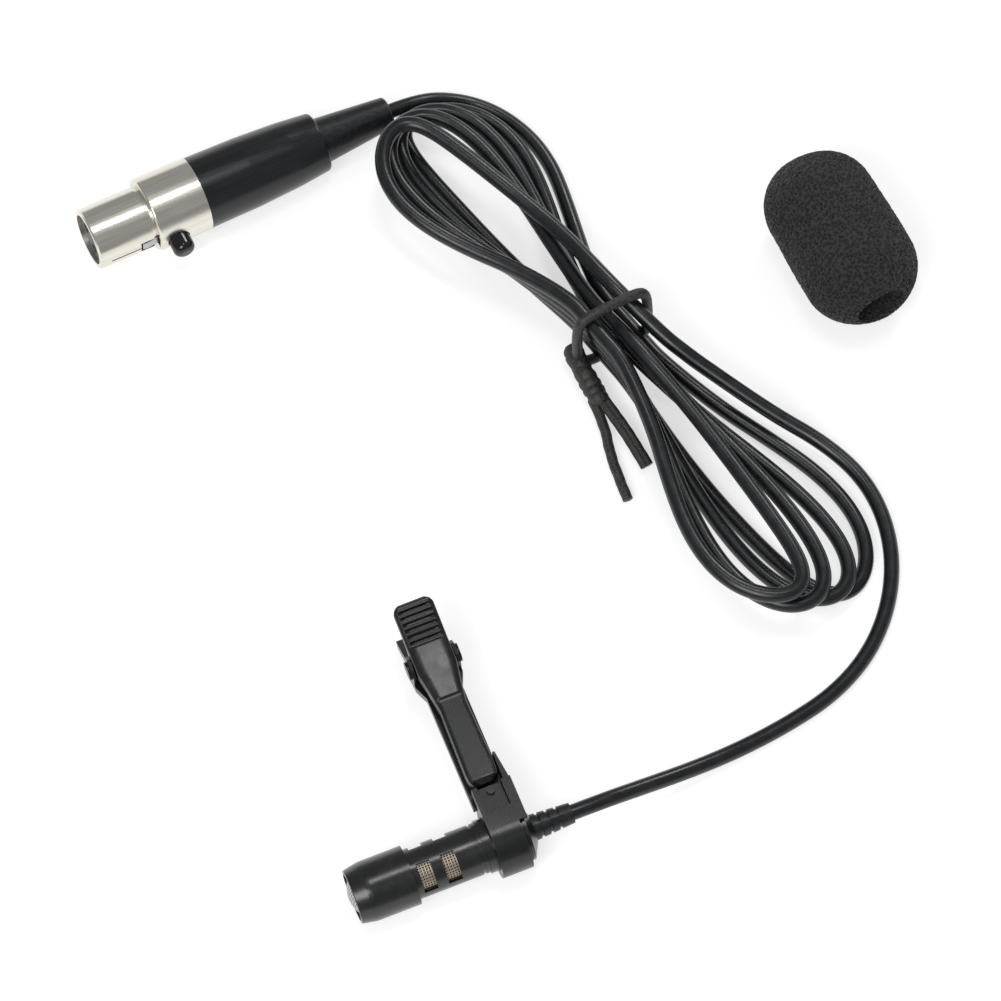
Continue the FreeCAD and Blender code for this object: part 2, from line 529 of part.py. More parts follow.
# Lever: the upper jaw, a hollow moulding with cheeks on the pin and grooves for the thumb
lever = new_body("clip_lever")
sole = "(block_bottom + tooth_size + jaw_gap)"
lever_tip = "(block_length + jaw_gap)"
lever_side = new_sketch(lever, "side_outline", "YZ_Plane")
polygon(lever_side, [
    (lever_tip, sole), (lever_tip, "lever_top - lever_bevel"),
    (lever_tip + " + lever_bevel", "lever_top"),
    ("lever_waist_y", "lever_top + lever_rise / 2"), ("lever_pad_y", "lever_top + lever_rise"),
    ("lever_thumb_y", "lever_top + pad_rise"),
    ("lever_end_y - lever_end_bevel", "lever_top + thumb_rise"),
    ("lever_end_y", "lever_top + thumb_rise - lever_end_bevel"),
    ("lever_end_y", "lever_top + thumb_rise - thumb_skin"),
    ("lever_thumb_y + thumb_skin / 2", "lever_top + pad_rise - thumb_skin"),
    ("pivot_y + cheek_radius", "pivot_z"),
    ("pivot_y + cheek_radius * 0.7", "pivot_z - cheek_radius * 0.7"),
    ("pivot_y", "pivot_z - cheek_radius"),
    ("pivot_y - cheek_radius * 0.7", "pivot_z - cheek_radius * 0.7"),
    ("pivot_y - cheek_radius", "pivot_z - cheek_radius * 0.2"), ("lever_pad_y", "pivot_z"),
    ("lever_waist_y", sole + " + jaw_gap"), ("tooth_start + (tooth_count + 1) * tooth_pitch", sole)])
pad(lever, "side", lever_side, "2 * lever_half", both=True)
lever_plan = new_sketch(lever, "plan_outline", "XY_Plane")
for side in ("", "-"):
    polygon(lever_plan, [
        (side + "lever_tip_half / 2", "block_length"), (side + "2 * lever_half", "block_length"),
        (side + "2 * lever_half", "pivot_y"), (side + "lever_half", "pivot_y"),
        (side + "(lever_half + lever_arm_half) / 2", "lever_pad_y"),
        (side + "lever_arm_half", "lever_waist_y"),
        (side + "lever_tip_half", lever_tip + " + lever_shoulder"),
        (side + "lever_tip_half * 7 / 8", lever_tip + " + lever_shoulder / 3"),
        (side + "lever_tip_half / 2", lever_tip)])
pad(lever, "plan", lever_plan, "4 * lever_top", both=True, kind="Pocket")

lever_room = new_sketch(lever, "room_outline", "YZ_Plane")
polygon(lever_room, [
    ("lever_pad_y - lever_skin", "0"),
    ("lever_pad_y - lever_skin", "lever_top + lever_rise - thumb_skin"),
    ("lever_thumb_y", "lever_top + pad_rise - lever_skin"),
    ("lever_end_y - lever_skin", "lever_top + thumb_rise - thumb_skin"),
    ("lever_end_y - lever_skin", "0")])
pad(lever, "room", lever_room, "2 * (lever_half - cheek_thick)", both=True, kind="Pocket")
pin_bore = new_sketch(lever, "pin_outline", "YZ_Plane")
circle(pin_bore, "pivot_y", "pivot_z", "pin_radius + running_gap")
pad(lever, "pin_bore", pin_bore, "4 * lever_half", both=True, kind="Pocket")
ribs = new_sketch(lever, "rib_outline", "YZ_Plane")
thumb_slope = "((thumb_rise - pad_rise) / (lever_end_y - lever_end_bevel - lever_thumb_y))"
for i in range(int(size("rib_count"))):
    along = "(rib_start + rib_pitch * %d)" % i
    surface = "lever_top + pad_rise + " + thumb_slope + " * " + along
    polygon(ribs, [
        ("lever_thumb_y + " + along, surface + " - rib_depth"),
        ("lever_thumb_y + " + along + " + rib_groove", surface + " - rib_depth"),
        ("lever_thumb_y + " + along + " + rib_groove", surface + " + 1"),
        ("lever_thumb_y + " + along, surface + " + 1")])
pad(lever, "ribs", ribs, "2 * rib_half", both=True, kind="Pocket")
lever.Placement = HEAD

# Pin: a shaft through ears and cheeks with a flat head at each end
pin = new_body("pivot_pin")
pin_seat = "(" + ear_out + " + seat_gap)"
turn(pin, "pin", [
    ("-%s - pin_head" % pin_seat, "0"), ("-%s - pin_head" % pin_seat, "pin_head_radius"),
    ("-" + pin_seat, "pin_head_radius"), ("-" + pin_seat, "pin_radius"), (pin_seat, "pin_radius"),
    (pin_seat, "pin_head_radius"), (pin_seat + " + pin_head", "pin_head_radius"),
    (pin_seat + " + pin_head", "0")])
pin.Placement = shifted(HEAD, 0, size("pivot_y"), size("pivot_z"))

# Spring: turns of wire round the pin, with a leg to each jaw
coil_radius = size("pin_radius") + size("spring_gap") + size("spring_wire")
coil_length = size("spring_turns") * size("spring_pitch")
coil = Part.makeHelix(size("spring_pitch"), coil_length, coil_radius)
rise = size("spring_pitch") / (2 * math.pi * coil_radius)
leg = FreeCAD.Vector(0, 1, rise).normalize().multiply(size("spring_leg"))
first_end = FreeCAD.Vector(coil_radius, 0, 0)
last_end = FreeCAD.Vector(coil_radius, 0, coil_length)
spring_path = Part.Wire([Part.makeLine(first_end - leg, first_end)] + coil.Edges
                        + [Part.makeLine(last_end, last_end + leg)])
spring_section = Part.Wire(Part.makeCircle(size("spring_wire"), first_end - leg, leg))
spring = doc.addObject("Part::Feature", "torsion_spring")
spring.Label = "torsion_spring"
spring.Shape = spring_path.makePipeShell([spring_section], True, False)
spring.Placement = shifted(HEAD, -coil_length / 2, size("pivot_y"), size("pivot_z")).multiply(
    FreeCAD.Placement(FreeCAD.Vector(0, 0, 0), FreeCAD.Rotation(FreeCAD.Vector(0, 1, 0), 90)))

# Plug shell: turned and plated, with a window for the hook and a hole for the button
shell = new_body("plug_shell")
shell_turned = turn(shell, "shell", [
    ("0", "insert_radius + seat_gap"), ("0", "barrel_radius - barrel_edge"),
    ("barrel_edge", "barrel_radius"),
    ("barrel_length - neck_groove", "barrel_radius"),
    ("barrel_length - neck_groove", "barrel_radius - neck_groove_depth"),
    ("barrel_length", "barrel_radius - neck_groove_depth"), ("barrel_length", "shell_radius"),
    ("shell_end", "shell_radius"), ("shell_end", "thread_radius + seat_gap"),
    ("barrel_length + shell_wall", "thread_radius + seat_gap"),
    ("barrel_length + shell_wall", "insert_radius + seat_gap")])
fillet(shell, "edge", shell_turned, ring_edge(size("barrel_length"), size("shell_radius")), "shell_edge")
window = new_sketch(shell, "window_outline", "XY_Plane")
polygon(window, [("window_start", "-window_half"), ("window_end", "-window_half"),
                 ("window_end", "window_half"), ("window_start", "window_half")])
pad(shell, "window", window, "(barrel_radius + shell_radius) / 2", kind="Pocket", flip=True)
line = new_sketch(shell, "line_outline", "XY_Plane", "barrel_radius - line_depth")
polygon(line, [("line_start", "-line_half"), ("window_start", "-line_half"),
    ("window_start", "line_half"),
               ("line_start", "line_half")])
pad(shell, "line", line, "1", kind="Pocket", flip=True)
button_hole = new_sketch(shell, "button_outline", "XY_Plane")
circle(button_hole, "button_x", "0", "button_radius + running_gap")
pad(shell, "button_hole", button_hole, "shell_radius + 1", kind="Pocket", flip=True)
shell.Placement = PLUG

# Insert: the moulding that carries three contacts, with a key slot and a flat under the latch
insert = new_body("contact_insert")
turn(insert, "core", [("insert_front", "0"), ("insert_front", "insert_radius"),
    ("insert_end", "insert_radius"),
                      ("insert_end", "0")])
contact_hole = new_sketch(insert, "hole_outline", "YZ_Plane")
circle(contact_hole, "0", "-contact_ring", "contact_hole_radius")
hole_cut = pad(insert, "hole", contact_hole, "insert_end + 1", kind="Pocket", flip=True)
polar(insert, "holes", [hole_cut], "contact_count")
key = new_sketch(insert, "key_outline", "XY_Plane")
polygon(key, [("0", "insert_radius - key_depth"), ("insert_end / 3", "insert_radius - key_depth"),
              ("insert_end / 3", "insert_radius + 1"), ("0", "insert_radius + 1")])
pad(insert, "key", key, "key_width", both=True, kind="Pocket")
flat = new_sketch(insert, "flat_outline", "YZ_Plane", "window_start - jaw_gap")
polygon(flat, [("-window_half", "latch_flat"), ("window_half", "latch_flat"),
    ("window_half", "barrel_radius"),
               ("-window_half", "barrel_radius")])
pad(insert, "flat", flat, "insert_end", kind="Pocket", flip=True)
insert.Placement = PLUG

# Contacts: three tubes with solder cups, each in its hole
contact_outer = "(contact_hole_radius - seat_gap)"
contacts = new_body("socket_contacts")
contact_ring = new_sketch(contacts, "tube_outline", "YZ_Plane", "insert_front + contact_recess")
circle(contact_ring, "0", "-contact_ring", contact_outer)
circle(contact_ring, "0", "-contact_ring", contact_outer + " - contact_wall")
contact = pad(contacts, "tube", contact_ring, "insert_end + contact_cup - insert_front - contact_recess")
polar(contacts, "tubes", [contact], "contact_count")
contacts.Placement = PLUG

# Latch: a spring strip with a hook in the window, hinged at its rear end
latch = new_body("latch_strip")
latch_side = new_sketch(latch, "side_outline", "XZ_Plane")
polygon(latch_side, [
    ("latch_front", "latch_low"), ("latch_hinge + latch_end", "latch_low"),
    ("latch_hinge + latch_end", "latch_low + latch_thick"),
    ("latch_front + hook_length * 2", "latch_low + latch_thick"),
    ("latch_front + hook_length", "hook_top"), ("latch_front + hook_length / 4", "hook_top"),
    ("latch_front", "latch_low + latch_thick")])
pad(latch, "strip", latch_side, "2 * latch_half", both=True)
rolled = new_sketch(latch, "rolled_outline", "XZ_Plane")
circle(rolled, "latch_hinge", "latch_low + latch_thick / 2", "latch_roll_radius")
pad(latch, "rolled_end", rolled, "2 * latch_half", both=True)
latch.Placement = PLUG

button = new_body("latch_button")
button_turned = turn(button, "button", [
    ("0", "latch_low + latch_thick + running_gap"),
    ("button_nub_radius", "latch_low + latch_thick + running_gap"),
    ("button_nub_radius", "button_low"), ("button_radius", "button_low"), ("button_radius", "button_top"),
    ("0", "button_top")], axis="Z_Axis", role="XZ_Plane")


def button_rim(edge):
    return isinstance(edge.Curve, Part.Circle) and abs(edge.Curve.Center.z - size("button_top")) < 0.01


fillet(button, "rim", button_turned, button_rim, "button_edge")
button.Placement = shifted(PLUG, size("button_x"))

# Sleeve: the black rear half of the plug, screwed into the shell
sleeve = new_body("plug_sleeve")
sleeve_turned = turn(sleeve, "sleeve", [
    ("thread_start", "sleeve_bore"), ("thread_start", "thread_radius"), ("shell_end", "thread_radius"),
    ("shell_end", "sleeve_radius"), ("shell_end + sleeve_middle", "sleeve_middle_radius"),
    ("shell_end + sleeve_knee", "sleeve_knee_radius"),
    ("sleeve_end", "sleeve_end_radius"), ("sleeve_end", "sleeve_neck_radius"),
    ("sleeve_end - sleeve_neck", "sleeve_neck_radius"),
    ("sleeve_end - sleeve_neck", "sleeve_seat_radius"),
    ("sleeve_end - sleeve_neck - sleeve_seat", "sleeve_seat_radius"),
    ("sleeve_end - sleeve_neck - sleeve_seat", "sleeve_bore")])
fillet(sleeve, "end", sleeve_turned, ring_edge(size("sleeve_end"), size("sleeve_end_radius")),
    "sleeve_end_edge")
sleeve.Placement = PLUG

# Boot: a rubber tube, its flange held inside the sleeve
boot = new_body("plug_boot")
boot_turned = turn(boot, "boot", [
    ("sleeve_end - sleeve_neck - boot_flange", "cord_radius + bore_gap"),
    ("sleeve_end - sleeve_neck - boot_flange", "sleeve_seat_radius - seat_gap"),
    ("sleeve_end - sleeve_neck", "sleeve_seat_radius - seat_gap"),
    ("sleeve_end - sleeve_neck", "sleeve_neck_radius - seat_gap"),
    ("sleeve_end", "sleeve_neck_radius - seat_gap"),
    ("sleeve_end", "boot_radius"), ("boot_end", "boot_end_radius"),
    ("boot_end", "cord_radius + bore_gap")])
fillet(boot, "end", boot_turned, ring_edge(size("boot_end"), size("boot_end_radius")), "boot_edge")
boot.Placement = PLUG

# Clamp: a slit ring that grips the cord, with two arms to the insert
clamp = new_body("cable_clamp")
clamp_end = "clamp_start + clamp_length"
turn(clamp, "ring", [
    ("clamp_start", "cord_radius + seat_gap"), ("clamp_start", "clamp_radius"),
    (clamp_end, "clamp_radius"),
    (clamp_end, "cord_radius + seat_gap")])
for side in ("", "-"):
    arm = new_sketch(clamp, "arm_outline" + ("_left" if side else ""), "YZ_Plane", "insert_end")
    arm_out = "(clamp_arm_y + clamp_arm_thick)"
    polygon(arm, [
        (side + "clamp_arm_y", "-clamp_arm_width / 2"), (side + arm_out, "-clamp_arm_width / 2"),
        (side + arm_out, "clamp_arm_width / 2"), (side + "clamp_arm_y", "clamp_arm_width / 2")])
    pad(clamp, "arm" + ("_left" if side else ""), arm, clamp_end + " - insert_end")
    web = new_sketch(clamp, "web_outline" + ("_left" if side else ""), "YZ_Plane", "clamp_start")
    web_in = "(clamp_radius - clamp_arm_thick)"
    web_out = "(clamp_arm_y + clamp_arm_thick / 4)"
    polygon(web, [
        (side + web_in, "-clamp_arm_width / 2"), (side + web_out, "-clamp_arm_width / 2"),
        (side + web_out, "clamp_arm_width / 2"), (side + web_in, "clamp_arm_width / 2")])
    pad(clamp, "web" + ("_left" if side else ""), web, "clamp_length")
slit = new_sketch(clamp, "slit_outline", "XY_Plane")
polygon(slit, [
    ("clamp_start - 1", "-clamp_slit / 2"), (clamp_end + " + 1", "-clamp_slit / 2"),
    (clamp_end + " + 1", "clamp_slit / 2"), ("clamp_start - 1", "clamp_slit / 2")])
pad(clamp, "slit", slit, "clamp_radius + 1", kind="Pocket", flip=True)
clamp.Placement = PLUG

# Conductors: three insulated wires from the solder cups to the end of the cord
cup = size("insert_end") + size("contact_cup")
conductors = []
for i in range(int(size("contact_count"))):
    turned = 2 * math.pi * i / size("contact_count") - math.pi / 2
    outward = FreeCAD.Vector(0, math.cos(turned), math.sin(turned))
    start = outward * size("contact_ring") + FreeCAD.Vector(cup, 0, 0)
    end = outward * size("wire_ring_rear") + FreeCAD.Vector(size("inner_cord_start"), 0, 0)
    conductors.append(Part.makeCylinder(size("wire_radius"), (end - start).Length, start, end - start))
wires = doc.addObject("Part::Feature", "conductor_wires")
wires.Label = "conductor_wires"
wires.Shape = Part.makeCompound(conductors)
wires.Placement = PLUG

inner_cord = new_body("plug_cable_end")
turn(inner_cord, "cord", [
    ("inner_cord_start", "0"), ("inner_cord_start", "cord_radius"), ("inner_cord_end", "cord_radius"),
    ("inner_cord_end", "0")])
inner_cord.Placement = PLUG

# Windscreen: a rounded foam plug with a round hole in one end
foam = new_body("windscreen")
foam_circle = new_sketch(foam, "outline", "YZ_Plane")
circle(foam_circle, "0", "0", "foam_radius")
foam_pad = pad(foam, "block", foam_circle, "foam_length", both=True)


def any_ring(edge):
    return isinstance(edge.Curve, Part.Circle)


fillet(foam, "ends", foam_pad, any_ring, "foam_round")
turn(foam, "hole", [
    ("foam_length / 2 + 1", "0"), ("foam_length / 2 + 1", "foam_hole_radius + foam_hole_edge + 1"),
    ("foam_length / 2 - foam_hole_edge", "foam_hole_radius"),
    ("foam_length / 2 - foam_hole_depth", "foam_hole_radius"),
    ("foam_length / 2 - foam_hole_depth", "0")],
    kind="Groove")
foam.Placement = FOAM


# Cord: each free tail is straight runs joined by tangent arcs
ARC_SHARE = 0.45
STRAIGHT = 1e-6
MANY = 20
GAP_STEP = 1.0
LOBE_KNOTS = 10
WAIST_KNOTS = 2
FINE = 12


def rounded(points):
    """Edges of a route through the points, with the radius of each arc."""
    edges = []
    radii = []
    here = points[0]
    for before, corner, after in zip(points, points[1:], points[2:]):
        back = before - corner
        ahead = after - corner
        reach = ARC_SHARE * min(back.Length, ahead.Length)
        half = back.getAngle(ahead) / 2
        radius = reach * math.tan(half)
        inward = (FreeCAD.Vector(back).normalize() + FreeCAD.Vector(ahead).normalize()).normalize()
        start = corner + FreeCAD.Vector(back).normalize() * reach
        end = corner + FreeCAD.Vector(ahead).normalize() * reach
        middle = corner + inward * (radius / math.sin(half) - radius)
        edges += [Part.makeLine(here, start), Part.Arc(start, middle, end).toShape()]
        radii.append(radius)
        here = end
    edges.append(Part.makeLine(here, points[-1]))
    return edges, radii


def tube_shape(edges, radius):
    """A round tube along joined edges, made in one sweep."""
    spine = Part.Wire(edges)
    first = spine.OrderedEdges[0]
    start = first.valueAt(first.FirstParameter)
    section = Part.Wire(Part.makeCircle(radius, start, first.tangentAt(first.FirstParameter)))
    shape = spine.makePipeShell([section], True, False)
    share = shape.Volume / (math.pi * radius ** 2 * spine.Length)
    return shape, spine.Length, share


def add_shape(label, shape):
    item = doc.addObject("Part::Feature", label)
    item.Label = label
    item.Shape = shape
    return item


def report_tube(label, length, share, radii):
    print("%s: length %.1f mm, volume over section times length %.4f, least radius %.2f mm"
          % (label, length, share, min(radii)))
    if len(radii) < MANY:
        print("  radii", [round(radius, 1) for radius in radii])


# Hank: four turns of a figure of eight that spread from a waist into a near and a far lobe.
# Along the waist runs u, across it v. A lobe is a loop that leaves the waist and comes back:
# with t from 1 to -1 it reaches out as 1 - t^2 and widens as t (1 - t^2)^1.5, then it is
# swung about the waist and skewed to one side.
def ease(share):
    share = min(1.0, max(0.0, share))
    return share * share * (3 - 2 * share)


def waist_place(u, v, z):
    heading = math.radians(size("hank_heading"))
    return FreeCAD.Vector(size("hank_x") + u * math.cos(heading) - v * math.sin(heading),
                          size("hank_y") + u * math.sin(heading) + v * math.cos(heading), z)


def hank_place(u, v, z):
    """A point of the hank, lifted at the waist so that the tie passes below it."""
    lifted = size("waist_lift") * ease(1 - (abs(u) - size("waist_half")) / size("waist_fade"))
    return waist_place(u, v, z + lifted)


def hank_level(turn_number):
    return size("cord_radius") + size("floor_gap") + hank_pitch * (turn_number - 1)


def hank_column(side, turn_number):
    return side * size("waist_column") - size("waist_lean") * (turn_number - (hank_turns + 1) / 2)


def lobe_point(lobe, turn_number, t, v_in, v_out):
    away = 1 if lobe == "near" else -1
    reach, width, swing, skew = [size("%s_%s_%d" % (lobe, word, turn_number))
                                 for word in ("reach", "width", "swing", "skew")]
    out = 1 - t * t
    along = reach * out
    across = width * t * out ** 1.5 * (1 + 2 * skew * t * math.sqrt(out))
    angle = math.radians(swing) * out * (2 - out)
    u = along * math.cos(angle) - across * math.sin(angle)
    v = along * math.sin(angle) + across * math.cos(angle)
    column = (v_in if t > 0 else v_out) * (1 - ease(out))
    raised = size("far_lift") * ease(out) if lobe == "far" else 0
    return hank_place(away * (size("waist_half") + u),
        away * v + column, hank_level(turn_number) + raised)


def waist_point(share, from_v, to_v, from_z, to_z, towards):
    u = towards * size("waist_half") * (2 * share - 1)
    step = ease(share)
    return hank_place(u, from_v + (to_v - from_v) * step, from_z + (to_z - from_z) * step)


def hank_route(lobe_steps, waist_steps):
    """Points of the whole hank, from the plug's tail to the head's tail."""
    route = []
    before_v = size("waist_outer")
    before_z = hank_level(1)
    for number in range(1, hank_turns + 1):
        level = hank_level(number)
        near_in = before_v if number == 1 else hank_column(1, number)
        far_out = size("waist_top") if number == hank_turns else hank_column(1, number)
        middle = hank_column(-1, number)
        route += [waist_point(i / waist_steps, before_v, near_in, before_z, level,
            1) for i in range(waist_steps)]
        route += [lobe_point("near", number, 1 - 2 * i / lobe_steps, near_in,
            middle) for i in range(lobe_steps)]
        route += [waist_point(i / waist_steps, middle, middle, level, level,
            -1) for i in range(waist_steps)]
        route += [lobe_point("far", number, 1 - 2 * i / lobe_steps, middle,
            far_out) for i in range(lobe_steps)]
        before_v = far_out
        before_z = level
    route.append(hank_place(-size("waist_half"), before_v, before_z))
    return route


def biarc(start, end, leave, arrive):
    """Two arcs that join smoothly, from start to end along the two given directions."""
    across = end - start
    both = leave + arrive
    flat = 2 * (1 - leave.dot(arrive))
    pull = across.dot(both)
    if flat < STRAIGHT:
        reach = across.dot(across) / (2 * pull)
    else:
        reach = (math.sqrt(pull * pull + flat * across.dot(across)) - pull) / flat
    first = start + leave * reach
    second = end - arrive * reach
    joint = (first + second) / 2
    edges = []
    radii = []
    for near, control, far in ((start, first, joint), (joint, second, end)):
        chord = far - near
        foot = (near + far) / 2
        rise_way = control - foot
        turn_angle = math.acos(min(1.0, chord.Length / 2 / reach))
        if rise_way.Length < STRAIGHT:
            edges.append(Part.makeLine(near, far))
            continue
        bulge = chord.Length / 2 * math.tan(turn_angle / 2)
        edges.append(Part.Arc(near, foot + rise_way.normalize() * bulge, far).toShape())
        radii.append(chord.Length / 2 / math.sin(turn_angle))
    return edges, radii


def smooth(knots, directions):
    edges = []
    radii = []
    for i in range(len(knots) - 1):
        pair, bends = biarc(knots[i], knots[i + 1], directions[i], directions[i + 1])
        edges += pair
        radii += bends
    return edges, radii


def least_gap(edges, radius, near_skip):
    """The least gap of a tube to itself, measured on points of its axis."""
    points = []
    travelled = []
    so_far = 0.0
    for edge in edges:
        count = max(1, int(edge.Length / GAP_STEP))
        for i in range(count):
            points.append(edge.valueAt(edge.getParameterByLength(edge.Length * i / count)))
            travelled.append(so_far + edge.Length * i / count)
        so_far += edge.Length
    least = (1000.0, 0.0, 0.0)
    for i, point in enumerate(points):
        for j in range(i + 1, len(points)):
            if travelled[j] - travelled[i] < near_skip:
                continue
            away = points[j] - point
            if abs(away.x) < 4 * radius and abs(away.y) < 4 * radius and away.Length < least[0]:
                least = (away.Length, travelled[i], travelled[j])
    return least[0] - 2 * radius, least[1], least[2]


hank_turns = int(size("hank_turns"))
hank_pitch = 2 * size("cord_radius") + size("strand_gap")
thick = 2 * size("cord_radius")

# The hank's two ends: the lead-in from the plug's tail, and the strand that crosses on top
# and comes down to the head's tail
fine_route = hank_route(LOBE_KNOTS * FINE, WAIST_KNOTS * FINE)
lead_in = [hank_place(-size("lead_in_first"), size("lead_in_out"), hank_level(1)),
           hank_place(-size("lead_in_last"), size("lead_in_near"), hank_level(1))]
top_out = [hank_place(0.0, 4.6, 8.6), hank_place(6.0, 5.6, 7.0), hank_place(9.0, 6.6, 6.2)]
knots = lead_in + fine_route[::FINE] + top_out
directions = [(after - before).normalize() for before, after in zip(fine_route, fine_route[2:])]
directions = [(fine_route[1] - fine_route[0]).normalize()] + directions[FINE - 1::FINE]
directions += [(fine_route[-1] - fine_route[-2]).normalize()]
first_way = (lead_in[1] - lead_in[0]).normalize()
last_way = (top_out[2] - top_out[1]).normalize()
directions = ([first_way, (knots[2] - knots[0]).normalize()] + directions
              + [(top_out[1] - fine_route[-1]).normalize(), (top_out[2] - top_out[0]).normalize(),
              last_way])
hank_start = knots[0] - first_way * thick
hank_end = knots[-1] + last_way * thick
hank_edges, hank_radii = smooth(knots, directions)
hank_edges = [Part.makeLine(hank_start, knots[0])] + hank_edges + [Part.makeLine(knots[-1], hank_end)]
hank_shape, hank_length, hank_share = tube_shape(hank_edges, size("cord_radius"))
add_shape("cord_hank", hank_shape)
report_tube("cord_hank", hank_length, hank_share, hank_radii)
hank_gap = least_gap(hank_edges, size("cord_radius"), 4 * thick)
print("cord_hank: least gap to itself %.2f mm, at %.0f and %.0f mm along" % hank_gap)

# Tails: the head's comes out of its strain relief, the plug's out of its boot
mic_route = [
    HEAD.multVec(FreeCAD.Vector(size("mic_cord_end"), 0, 0)),
    HEAD.multVec(FreeCAD.Vector(size("mic_cord_turn"), 0, 0)),
    FreeCAD.Vector(-11.0, -36.7, 4.2), FreeCAD.Vector(-3.8, -36.1, 2.3), FreeCAD.Vector(3.6, -35.4, 1.3),
    FreeCAD.Vector(11.3, -34.3, 1.2), FreeCAD.Vector(18.4, -32.6, 1.2), FreeCAD.Vector(24.9, -29.2, 1.2),
    FreeCAD.Vector(30.2, -24.0, 1.2), FreeCAD.Vector(33.9, -17.6, 1.2), FreeCAD.Vector(35.6, -10.6, 1.2),
    FreeCAD.Vector(35.1, -3.6, 1.3), FreeCAD.Vector(31.9, 2.9, 2.0), FreeCAD.Vector(26.8, 8.7, 3.6),
    hank_end + last_way * 5.5, hank_end]
plug_route = [
    PLUG.multVec(FreeCAD.Vector(size("inner_cord_end"), 0, 0)),
    PLUG.multVec(FreeCAD.Vector(size("plug_cord_turn"), 0, 0)),
    FreeCAD.Vector(4.3, 72.4, 1.9), FreeCAD.Vector(8.9, 68.9, 1.2), FreeCAD.Vector(11.9, 63.6, 1.2),
    FreeCAD.Vector(13.1, 58.3, 1.2), FreeCAD.Vector(13.0, 52.9, 1.2),
    hank_start - first_way * 5.0, hank_start]
for label, route in (("cord_mic_tail", mic_route), ("cord_plug_tail", plug_route)):
    tail_edges, tail_radii = rounded(route)
    tail_shape, tail_length, tail_share = tube_shape(tail_edges, size("cord_radius"))
    add_shape(label, tail_shape)
    report_tube(label, tail_length, tail_share, tail_radii)

# Tie: one coated wire, a ring round the waist, a wrapped part beside it and loose ends,
# in the hank's frame
tie_ring = [
    (-1.1, -4.5, 3.2), (-1.5, -4.3, 12.1), (-1.5, -2.9, 13.5), (-0.2, 5.5, 13.4), (0.1, 6.8, 12.1),
    (0.6, 7.0, 2.04), (0.4, 5.7, 0.75), (-0.8, -2.6, 0.75), (-1.0, -4.5, 2.5)]
tie_wrap = [(-3.3, -3.8, 3.0), (0.5, -4.8, 3.0), (4.1, -5.4, 2.5), (6.3, -5.6, 2.3)]
tie_fold = [
    (4.6, -5.5, 3.2), (10.5, -5.9, 2.9), (15.8, -7.1, 1.8), (18.0, -7.4, 1.4), (18.3, -5.6, 1.3),
    (16.4, -5.4, 1.4), (10.8, -4.7, 1.6), (4.6, -4.7, 1.9)]
tie_end = [(4.6, -6.2, 1.9), (8.5, -7.2, 1.7), (12.5, -9.3, 1.2), (16.2, -10.6, 0.9), (19.3, -11.6, 0.8)]
tie_parts = []
for word, route, radius in (("ring", tie_ring, "tie_radius"), ("wrap", tie_wrap, "wrap_radius"),
                            ("fold", tie_fold, "tie_radius"), ("end", tie_end, "tie_radius")):
    tie_edges, tie_radii = rounded([waist_place(*point) for point in route])
    tie_piece, tie_length, tie_share = tube_shape(tie_edges, size(radius))
    report_tube("tie " + word, tie_length, tie_share, tie_radii)
    tie_parts.append(tie_piece)
add_shape("wire_tie", tie_parts[1].multiFuse([tie_parts[0], tie_parts[2], tie_parts[3]]))

# Checks, then one file for each sub-part
doc.recompute()
helpers = ("dome_outer", "dome_inner", "dome_reach", "dome_shell", "dome", "flange_disc", "flange_hole",
    "flange")
for item in doc.Objects:
    if "Invalid" in item.State or "Error" in item.State:
        raise RuntimeError("%s failed to compute" % item.Label)
pieces = [item for item in doc.Objects
          if item.TypeId == "PartDesign::Body"
          or (item.TypeId.startswith("Part::") and item.Name not in helpers)]
os.makedirs("parts", exist_ok=True)
for item in pieces:
    if item.Shape.isNull() or not item.Shape.isValid():
        raise RuntimeError("%s has no valid shape" % item.Label)
for item in pieces:
    item.Shape.exportStep("parts/%s.step" % item.Label)
print("%d sub-parts written" % len(pieces))
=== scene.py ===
import itertools
import math

import bmesh
import bpy
import numpy as np
from mathutils import Euler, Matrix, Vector


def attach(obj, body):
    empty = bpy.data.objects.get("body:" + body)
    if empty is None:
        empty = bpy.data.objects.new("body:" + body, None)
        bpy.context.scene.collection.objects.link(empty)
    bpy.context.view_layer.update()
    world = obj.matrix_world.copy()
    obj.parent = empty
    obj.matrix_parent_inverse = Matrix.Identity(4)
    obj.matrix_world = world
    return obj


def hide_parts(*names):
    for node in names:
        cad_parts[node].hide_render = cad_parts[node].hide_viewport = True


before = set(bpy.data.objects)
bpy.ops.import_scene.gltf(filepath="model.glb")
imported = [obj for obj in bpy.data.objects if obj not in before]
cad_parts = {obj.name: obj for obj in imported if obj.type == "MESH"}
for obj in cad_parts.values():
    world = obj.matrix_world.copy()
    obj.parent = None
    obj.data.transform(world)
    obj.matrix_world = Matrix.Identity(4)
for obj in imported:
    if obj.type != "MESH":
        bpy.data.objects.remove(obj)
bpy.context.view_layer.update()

# Capsule: an aluminium can with six front holes, and in it a metallised film on its ring,
# a brass backplate and a green circuit board. It is rolled shut over the board, and a
# rubber ring centres it in the tube.
MM = 0.001


def linear(code):
    """The linear colour of an sRGB hex code: c / 12.92 up to 0.04045, else ((c + 0.055) / 1.055) ^ 2.4."""
    shares = [int(code[i:i + 2], 16) / 255 for i in (1, 3, 5)]
    return [c / 12.92 if c <= 0.04045 else ((c + 0.055) / 1.055) ** 2.4 for c in shares] + [1.0]


